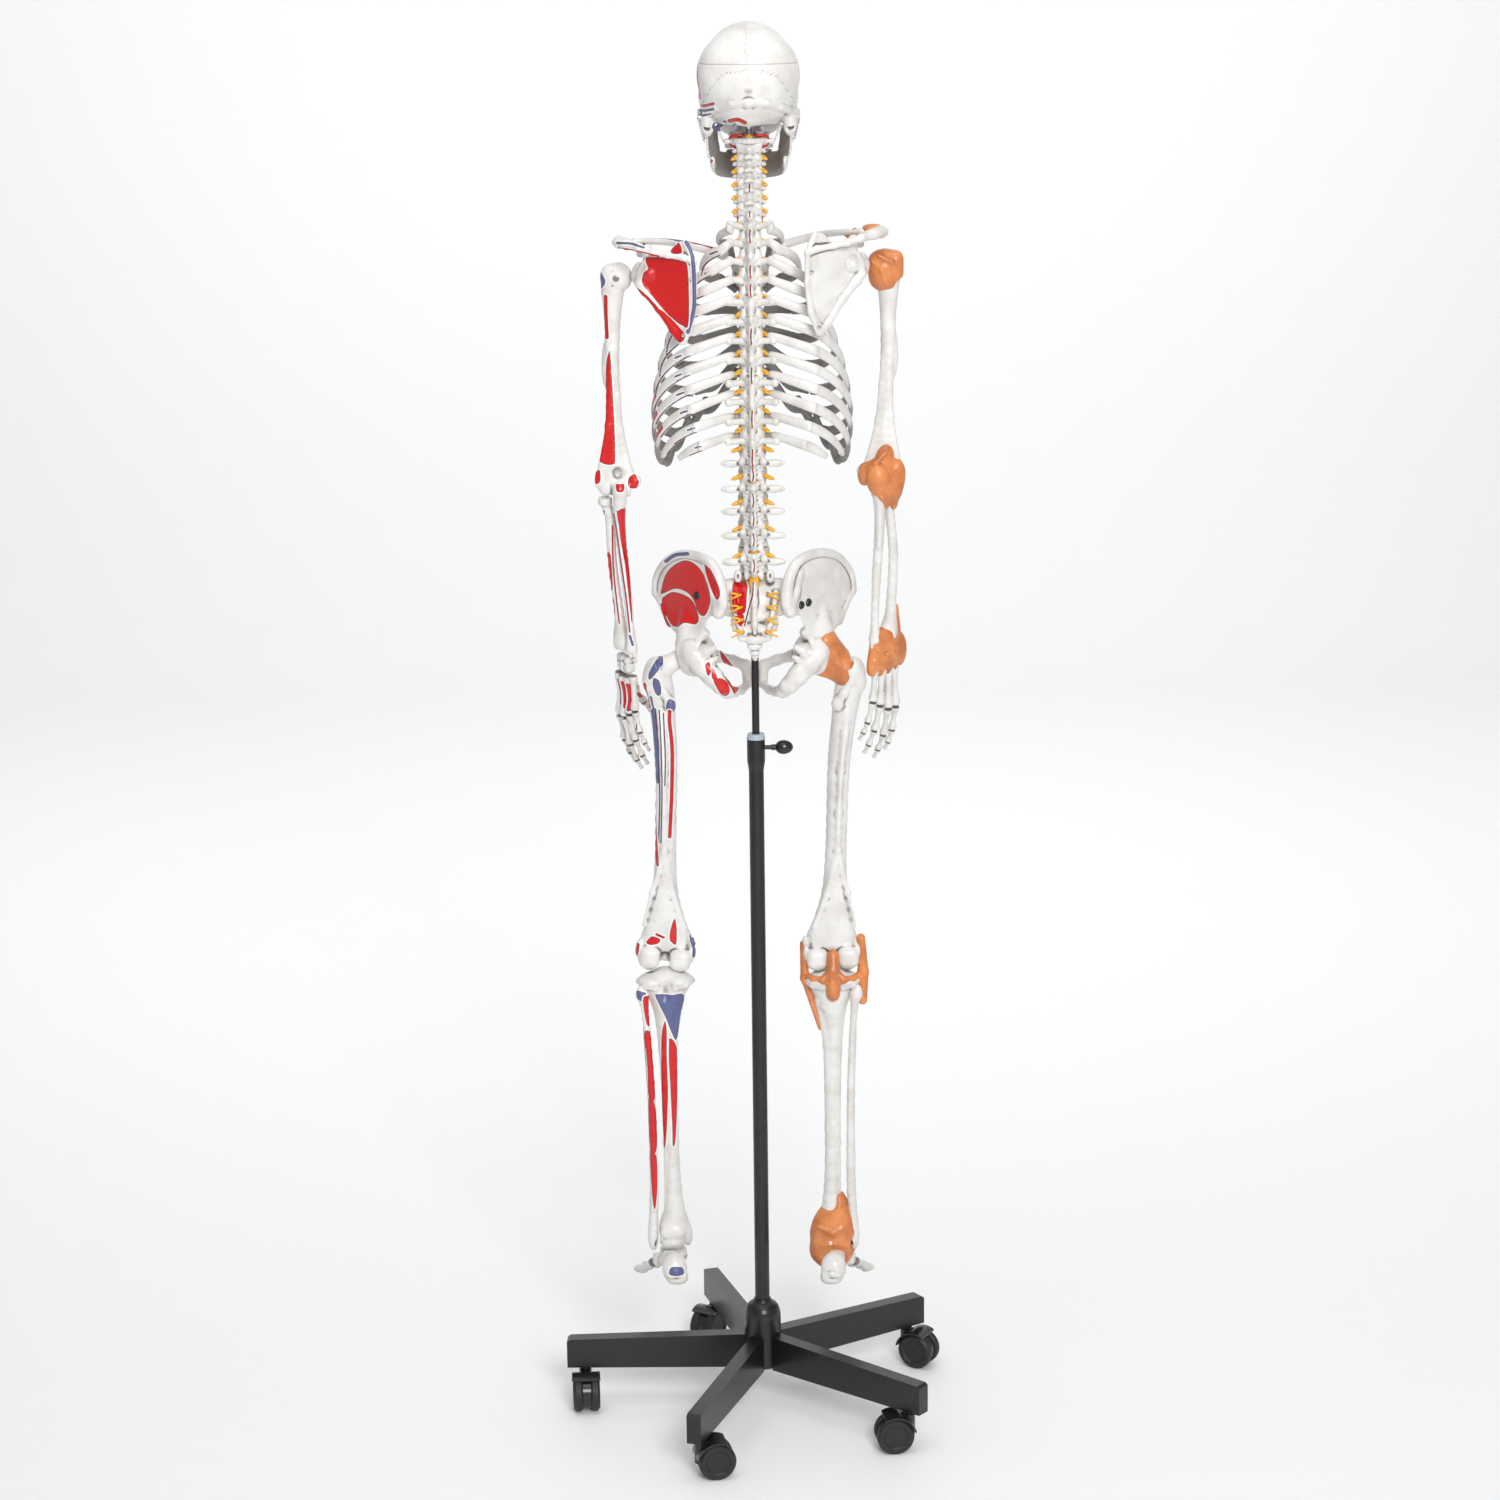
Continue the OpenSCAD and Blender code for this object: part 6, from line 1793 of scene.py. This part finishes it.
def long_bone(a, b, r, deep=0.92, tip=False):
    """A small tube bone between two joints, as a path with its widths."""
    n = unit(b - a)
    a, b = a + n * WIRE_GAP, b - n * WIRE_GAP
    shape = KNUCKLES[:6] + ((0.82, 0.62), (0.93, 0.8), (1.0, 0.5)) if tip else KNUCKLES
    return [mix(a, b, t) for t, k in shape], [(r * k, r * k * deep) for t, k in shape]


def hand(side):
    """The wired hand: finger bones and the eight wrist bones."""
    tubes = []
    for f in range(4):
        p = finger(FINGER_BASES[f], FINGER_LENGTHS[f], FINGER_SPREADS[side][f], FINGER_CURLS[side])
        small = 0.9 if f == 3 else 1.0
        for k, r in enumerate((7.0, 6.0, 5.0, 4.4)):
            tubes.append(long_bone(p[k], p[k + 1], r * small, tip=k == 3))
    t = finger(THUMB_BASE, THUMB_LENGTHS, THUMB_SPREAD[side], THUMB_CURLS)
    for k, r in enumerate((7.2, 6.4, 5.2)):
        tubes.append(long_bone(t[k], t[k + 1], r, tip=k == 2))
    red = [stripe([(x0, -42), (x1, -60), (x2, -78)], 4.2, "back", -0.35)
           for x0, x1, x2 in ((21, 24, 25), (13.5, 14, 15), (2, 2.5, 3), (-9, -9, -8.5))]
    blue = [stripe([(x, -98), (x, -106)], 3.2, "back", 0.3) for x in (26, 11, -2, -15)]
    name, palm = named(side, "hand"), named(side, "palm")
    # Finger bones darker towards their ends: painted shade with the wash
    hoses(f"{name}_fingers", palm, tubes, (name,), paint=painter(red, blue) if side == LEFT else None,
          place=at_wrist(side), up=(0, 1, 0.02), sides=16, count=28, ends_dark=0.9)
    c = Clay((-20, -16, -32), (28, 12, 4), 0.8)
    for k, (centre, radii) in enumerate(CARPALS):
        q, r = np.array(centre, float), np.array(radii, float)
        c.put(slab(q, r, 3.6, turn((0, 1, 0), 14 * ((k % 3) - 1))), 0.25)
        c.put(egg(q + vec(0, 1.2, 1), r * 0.98), 1.2)
    bone(f"{name}_carpals", palm, c, at_wrist(side))


TOE_BASES = ((-18, -72, -36), (-5, -74, -36), (5, -72, -38), (14, -66, -40), (21, -54, -43))
TOE_LENGTHS = ((58, 30, 24), (70, 25, 18), (66, 23, 16), (64, 21, 15), (62, 20, 14))
TOE_SPREADS = (-3, 0, 3, 6, 9)
TOE_RISE = (-14, -2, -8)


def toe(base, lengths, spread):
    """The joints of a toe that points forward."""
    points = [np.array(base, float)]
    s = np.radians(spread)
    for length, rise in zip(lengths, TOE_RISE):
        k = np.radians(rise)
        points.append(points[-1] + length * vec(np.sin(s) * np.cos(k), -np.cos(s) * np.cos(k), np.sin(k)))
    return points


def foot(side):
    """The wired foot: toes, ankle bone, heel and the bones between."""
    tubes = []
    for t in range(5):
        p = toe(TOE_BASES[t], TOE_LENGTHS[t], TOE_SPREADS[t])
        big = 1.45 if t == 0 else 1.0
        for k, r in enumerate((7.2, 5.8, 4.8)):
            tubes.append(long_bone(p[k], p[k + 1], r * big, 0.95, tip=k == 2))
    name, body, place = named(side, "foot"), named(side, "ankle_and_foot"), at_ankle(side)
    # Toe bones darker towards their ends: painted shade with the wash
    hoses(f"{name}_toes", body, tubes, (name,), place=place, up=(0, 0.02, 1), sides=16, count=28,
          ends_dark=0.9)
    talus = Clay((-30, -76, -60), (34, 66, 20), FINE * 0.9)
    back_to_leg = turn((0, 0, 1), -FOOT_TURN) @ turn((1, 0, 0), -FOOT_DROP)
    axis = back_to_leg @ vec(1, 0, 0)
    talus.put(drum((0, 0, 0), axis, 12.8, 16.5, 3), 0)
    talus.put(egg((0, 2, -11), (17, 22, 10)), 4)
    talus.put(egg((-2, -22, -15), (10, 12, 9)), 4)
    heel = Clay((-30, -76, -74), (34, 68, 20), FINE * 0.9)
    heel.put(egg((4, 18, -31), (12, 28, 13), turn((1, 0, 0), -8)), 0)
    heel.put(egg((3, 41, -42), (17, 14, 21)), 7)
    heel.put(egg((-6, 44, -54), (9, 9, 9)), 4)
    heel.put(egg((-8, 2, -27), (9, 10, 6)), 5)
    heel.put(egg((9, -12, -34), (10, 14, 10)), 6)
    heel.put(egg((1, 42, -58), (12, 9, 6)), 4)
    ridge(heel, [(-8, 50, -52), (2, 54, -50), (12, 50, -52)], [3, 3, 3], 3)
    for centre in ((4, -2, -17), (4, 14, -15)):
        heel.cut(egg(centre, (14, 13, 6.5)), 3)
    mid = Clay((-30, -90, -60), (34, 10, 0), FINE * 0.8)
    mid.put(egg((-6, -37, -21), (14, 5.6, 10), turn((0, 0, 1), 12)), 0)
    mid.put(slab((15, -36, -37), (8.5, 12, 8.5), 4), 0.2)
    for x, y, z in ((-17, -56, -29), (-5, -57, -26), (5, -55, -29)):
        mid.put(slab((x, y, z), (5.6 if x > -10 else 7, 12.5, 8), 3.6), 0.2)
    blue = patch([(-5, -40), (9, -40), (11, -50), (-7, -50)], "back", 0.1)
    join_casts(f"{name}_bones", body, [(clay, place) for clay in (talus, heel, mid)],
               paint=painter((), (blue,)) if side == LEFT else None)


# ---------- ligaments on the right -------------------


def soft(name, clay, place, start, end, replaced):
    """A ligament cast, baked into place in the world."""
    p, f, _ = cast(clay, place)
    obj = make_mesh(name, p, f)
    obj.data.materials.append(MATERIAL["ligament"])
    tuple(place.out(start) * MM)
    tuple(place.out(end) * MM)
    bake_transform(obj)
    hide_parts(replaced)


def fixed_ligament(name, body, clay, place):
    """A ligament cast that rides on one body."""
    p, f, _ = cast(clay, place)
    finish_piece(make_mesh(name, p, f), body, (), "ligament")


def ligaments():
    """The soft capsules at the right shoulder, elbow, wrist and hip, and the bands at the collar bone."""
    side = RIGHT
    c = Clay((-30, -32, -46), (34, 32, 32))
    c.put(ball((-1, 0, 0), 23), 0)
    c.put(egg((1, 0, -14), (21, 21, 18)), 5)
    c.put(slab((9, 2, 2), (15, 17, 19), 10), 5)
    ridge(c, [(-15, 17, 8), (-4, 22, -2), (2, 19, -20)], [2.5, 3, 2], 3)
    ridge(c, [(-8, 20, 16), (8, 21, 8), (16, 16, -6)], [2, 2.6, 2], 3)
    c.cut(slab((-35, 0, 0), (14, 40, 40), 4), 2)
    c.cut(egg((22, 2, -26), (10, 24, 12)), 4)
    c.cut(egg((6, 6, -40), (12, 26, 10)), 4)
    soft("shoulder_capsule", c, at_shoulder(side), (-14, 0, 4),
         (8, 0, -24), "shoulder_ligament")
    c = Clay((-36, -24, -50), (34, 32, 54))
    c.put(egg((-1, 2, 8), (29, 12, 20)), 0)
    c.put(egg((-7, 15, 3), (15, 15, 22)), 7)
    c.put(egg((8, 9, -12), (17, 12, 18)), 6)
    c.put(egg((3, 4, -20), (18, 12, 13)), 8)
    c.put(egg((-25, 3, 6), (8, 8, 15)), 5)
    c.put(egg((19, 1, 2), (10, 10, 24)), 5)
    c.put(egg((2, 3, 28), (12, 11, 18), turn((0, 1, 0), 12)), 6)
    c.put(egg((12, 6, -4), (11, 9, 12)), 3)
    c.put(egg((-2, 8, -30), (7, 8, 14)), 4)
    c.put(egg((14, 4, -28), (6, 8, 14)), 4)
    ridge(c, [(-20, 12, 18), (-10, 20, 26), (4, 14, 40)], [2, 2.4, 2], 4)
    ridge(c, [(-14, 20, -8), (-2, 22, -20), (6, 14, -34)], [2, 2.6, 2], 4)
    soft("elbow_capsule", c, at_elbow(side), (0, 0, 10), (0, 0, -14),
         "elbow_ligament")
    c = Clay((-40, -22, -42), (44, 22, 54))
    add_limb(c, [(0, 0, 12), (1, 0, -6), (2, 0, -20), (3, 0, -33)],
             [(22, 12), (26, 12.4), (30, 12), (32, 10.5)],
             blend=2, count=10)
    c.put(rod((20, 1, 4), (20, 2, 48), 8, 3), 4)
    c.put(egg((27, 0, -12), (10, 11, 22)), 5)
    c.put(rod((-16, 2, 4), (-17, 3, 22), 5, 2.6), 4)
    for x in (-16, -4, 9, 21):
        c.cut(egg((x, 0, -38), (4.4, 16, 7)), 3)
    ridge(c, [(-20, 9, -2), (-6, 12, -4), (8, 12, -2), (20, 9, -6)], [2, 1.8, 1.8, 2], 3)
    ridge(c, [(-24, 6, -18), (-6, 12, -16), (12, 11, -18), (28, 6, -20)], [2, 1.6, 1.6, 2], 3)
    for x, z, r in ((-8, -9, 4.6), (12, -10, 4.2), (2, -23, 2.6), (-13, -22, 2.4)):
        c.cut(egg((x, 14, z), (r, 4, r * 0.8)), 1)
    soft("wrist_capsule", c, at_wrist(side), (0, 0, 6), (0, 0, -10),
         "wrist_ligament")
    c = Clay((-34, -34, -72), (66, 34, 48))
    add_limb(c, [(4, 0, 10), (16, 0, -5), (28, 1, -16), (38, 3, -26), (43, 4, -36)],
             [(26, 27), (24, 24), (21, 21), (20, 20), (17, 17)], blend=3, count=14)
    c.put(egg((-4, 15, 6), (14, 13, 19)), 6)
    c.put(rod((-6, 6, -20), (26, 6, -26), 7.5, 11), 6)
    c.put(egg((14, 8, 18), (14, 18, 16)), 6)
    ridge(c, [(-6, 24, 18), (10, 23, 4), (30, 20, -14), (43, 18, -34)], [3, 3, 3, 2], 4)
    ridge(c, [(22, 18, 18), (28, 19, -6), (34, 19, -30)], [2, 2.4, 2], 4)
    c.cut(ball((0, 0, 0), 24.2), 1)
    c.cut(egg((60, 0, -4), (15, 30, 16)), 4)
    c.cut(egg((56, 4, -58), (18, 30, 14)), 4)
    c.cut(egg((18, 4, -64), (24, 30, 20)), 5)
    soft("hip_capsule", c, at_hip(side), (16, 0, -6), (40, 2, -28),
         "hip_ligament")
    knee_ankle(side)
    c = Clay((96, -30, 1580), (176, 50, 1620))
    c.put(rod((149, 14, 1604), (163, 28, 1606), 7, 6), 0)
    c.put(egg((156, 22, 1607), (11, 9, 4)), 4)
    fixed_ligament("collar_joint_band", "torso", c, Place((0, 0, SHOULDER_LIFT[RIGHT]), mirror=True))
    c = Clay((110, -24, 1576), (150, 20, 1612))
    c.put(rod((133, 6, 1592), (122, -10, 1599), 4.4, 4.8), 0)
    c.put(rod((134, 10, 1592), (134, 6, 1602), 3.8, 4.4), 2)
    fixed_ligament("coracoid_band", "torso", c, Place((0, 0, SHOULDER_LIFT[RIGHT]), mirror=True))


def knee_ankle(side):
    """The bands at the knee and the capsule at the ankle."""
    c = Clay((-50, -44, -104), (54, 38, 34))
    c.put(rod((-38, 4, 18), (-38, 5, -30), 6, 5.6), 0)
    c.put(rod((-38, 5, -28), (-17, 6, -98), 5.6, 3.6), 3)
    c.put(rod((38, 5, 26), (41, 7, -20), 6, 7.4), 0)
    c.put(rod((41, 7, -20), (40, 14, -58), 7.4, 6), 3)
    c.put(rod((0, 15, 4), (0, 22, -14), 8.5, 8), 3)
    c.put(rod((0, 20, -12), (0, 26, -46), 7.5, 9), 3)
    for s in (-1, 1):
        ridge(c, [(s * 4, 24, -16), (s * 14, 26, -26), (s * 26, 20, -27), (s * 36, 6, -24)],
              [5, 4.6, 4.4, 4.4], 3)
        ridge(c, [(s * 8, 26, -30), (s * 20, 24, -32), (s * 32, 14, -30)], [2.4, 2.4, 2.4], 2)
    ridge(c, [(-3, 27, -12), (-2, 31, -40)], [2, 2], 3)
    soft("knee_capsule", c, at_knee(side), (0, 0, 10), (0, 0, -22),
         "knee_ligament")
    place = at_joint(side, "ankle", shank_axes(side))
    c = Clay((-44, -34, -52), (46, 36, 72))
    add_limb(c, [(4, 1, 48), (2, 1, 28), (0, 1, 14), (0, 1, -2), (-3, 2, -22), (-8, 2, -34)],
             [(13, 15), (23, 19), (30, 21), (33, 22), (28, 20), (22, 16)], blend=2, count=16)
    c.put(rod((8, 2, 44), (10, 3, 58), 6, 2.5), 4)
    c.put(egg((-22, 0, -22), (12, 18, 16)), 6)
    ridge(c, [(-22, 18, 16), (-4, 22, 8), (10, 21, 14)], [2, 3, 2], 4)
    ridge(c, [(-18, 19, -10), (0, 23, -6), (18, 18, -12)], [2, 3, 2], 4)
    c.cut(egg((30, 14, -12), (9, 12, 14)), 2)
    c.cut(egg((-6, 20, 50), (10, 20, 12)), 4)
    c.cut(egg((6, 34, -38), (22, 24, 15)), 4)
    soft("ankle_capsule", c, place, (0, 0, 4), (0, 0, -16),
         "ankle_ligament")


# ---------- everything is made here ----------

for side in (LEFT, RIGHT):
    femur(side)
    patella(side)
    tibia(side)
    fibula(side)
    hip_bone(side)
    ribs(side)
    scapula(side)
    humerus(side)
    bracket(side)
    ulna(side)
    radius(side)
    hand(side)
    foot(side)
sacrum()
symphysis()
spine()
cartilages()
sternum()
nerves()
arteries()
clavicles()
screws()
head()
mandible()
jaw_springs()
ligaments()


# ---------- the stand: CAD pieces with finishes and softened edges ----------

STAND_FINISH = {
    "base_arms": "powder coat",
    "base_hub": "powder coat",
    "stand_tube": "powder coat",
    "stand_rod": "rod steel",
    "tube_collar": "collar",
    "clamp_knob": "moulded black",
    "spine_core": "steel",
}
for number in range(1, 6):
    STAND_FINISH[f"caster_hood_{number}"] = "moulded black"
    STAND_FINISH[f"caster_wheels_{number}"] = "tread"


EDGE = 0.0006


def finish_node(node, material):
    """A stand piece's finish, and its softened edges."""
    obj = bpy.data.objects[node]
    for k in range(len(obj.material_slots)):
        obj.material_slots[k].material = MATERIAL[material]
    bevel = obj.modifiers.new("edges", "BEVEL")
    bevel.width = EDGE
    bevel.segments = 3
    bevel.limit_method = "ANGLE"
    bevel.angle_limit = np.radians(35)
    bevel.harden_normals = True


# ---------- the room ----------


def floor():
    """A pale floor that curves up into the backdrop, in metres."""
    size, bend, steps = 9.0, 1.6, 24
    profile = [(-size, 0.0)] + [(size * 0.5 + bend * np.sin(a), bend * (1 - np.cos(a)))
                                for a in np.linspace(0, np.pi / 2, steps)] + [(size * 0.5 + bend, size)]
    points = [(x / MM, -y / MM, z / MM) for y, z in profile for x in (-size, size)]
    faces = [(2 * i, 2 * i + 1, 2 * i + 3, 2 * i + 2) for i in range(len(profile) - 1)]
    obj = make_mesh("floor", np.array(points), np.array(faces))
    obj.data.materials.append(MATERIAL["floor"])
    obj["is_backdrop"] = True


def lamp(name, place, target, size, power):
    """A rectangular light, in metres and watts, turned to its target."""
    data = bpy.data.lights.new(name, "AREA")
    data.shape = "RECTANGLE"
    data.size, data.size_y = size
    data.energy = power
    obj = bpy.data.objects.new(name, data)
    obj.location = place
    obj.rotation_euler = (Vector(target) - Vector(place)).to_track_quat("-Z", "Y").to_euler()
    bpy.context.scene.collection.objects.link(obj)
    obj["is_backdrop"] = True


def room_light(colour, strength):
    """Even light from all round, and plain colours without a film look."""
    world = bpy.data.worlds.new("room")
    world.use_nodes = True
    background = world.node_tree.nodes["Background"].inputs
    background["Color"].default_value = colour
    background["Strength"].default_value = strength
    bpy.context.scene.world = world
    bpy.context.scene.view_settings.view_transform = "Standard"


CAMERA_PLACE = (0.008, 4.515, 2.017)
CAMERA_DOWN = 13.53
CAMERA_ROLL = -0.69
CAMERA_LENS = 84.3


def camera():
    """Behind the skeleton, a little above its head, looking slightly down."""
    data = bpy.data.cameras.new("camera")
    data.sensor_width = 36
    data.lens = CAMERA_LENS
    data.clip_end = 60
    obj = bpy.data.objects.new("camera", data)
    obj.location = CAMERA_PLACE
    look = Matrix.Rotation(np.pi, 4, "Z") @ Matrix.Rotation(np.radians(90 - CAMERA_DOWN), 4, "X")
    obj.rotation_euler = (look @ Matrix.Rotation(np.radians(CAMERA_ROLL), 4, "Z")).to_euler()
    bpy.context.scene.collection.objects.link(obj)
    bpy.context.scene.camera = obj


plain_material("floor", (0.94, 0.94, 0.935, 1), 0.6, grain=40, strength=0.02)
for node, material in STAND_FINISH.items():
    finish_node(node, material)
floor()
lamp("key", (-0.9, 4.3, 3.0), (0, 0, 1.1), (1.5, 1.5), 150)
lamp("overhead", (0.2, 0.8, 4.4), (0, 0, 0), (3.0, 3.0), 52)
lamp("backdrop", (0, -1.7, 3.8), (0, -6.1, 1.4), (5.0, 1.2), 110)
room_light((0.95, 0.97, 1, 1), 0.4)
camera()

visual_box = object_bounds()
sizes = {"cad": cad_box, "visual": visual_box}
{k: [list(map(float, corner)) for corner in box] for k, box in sizes.items()}
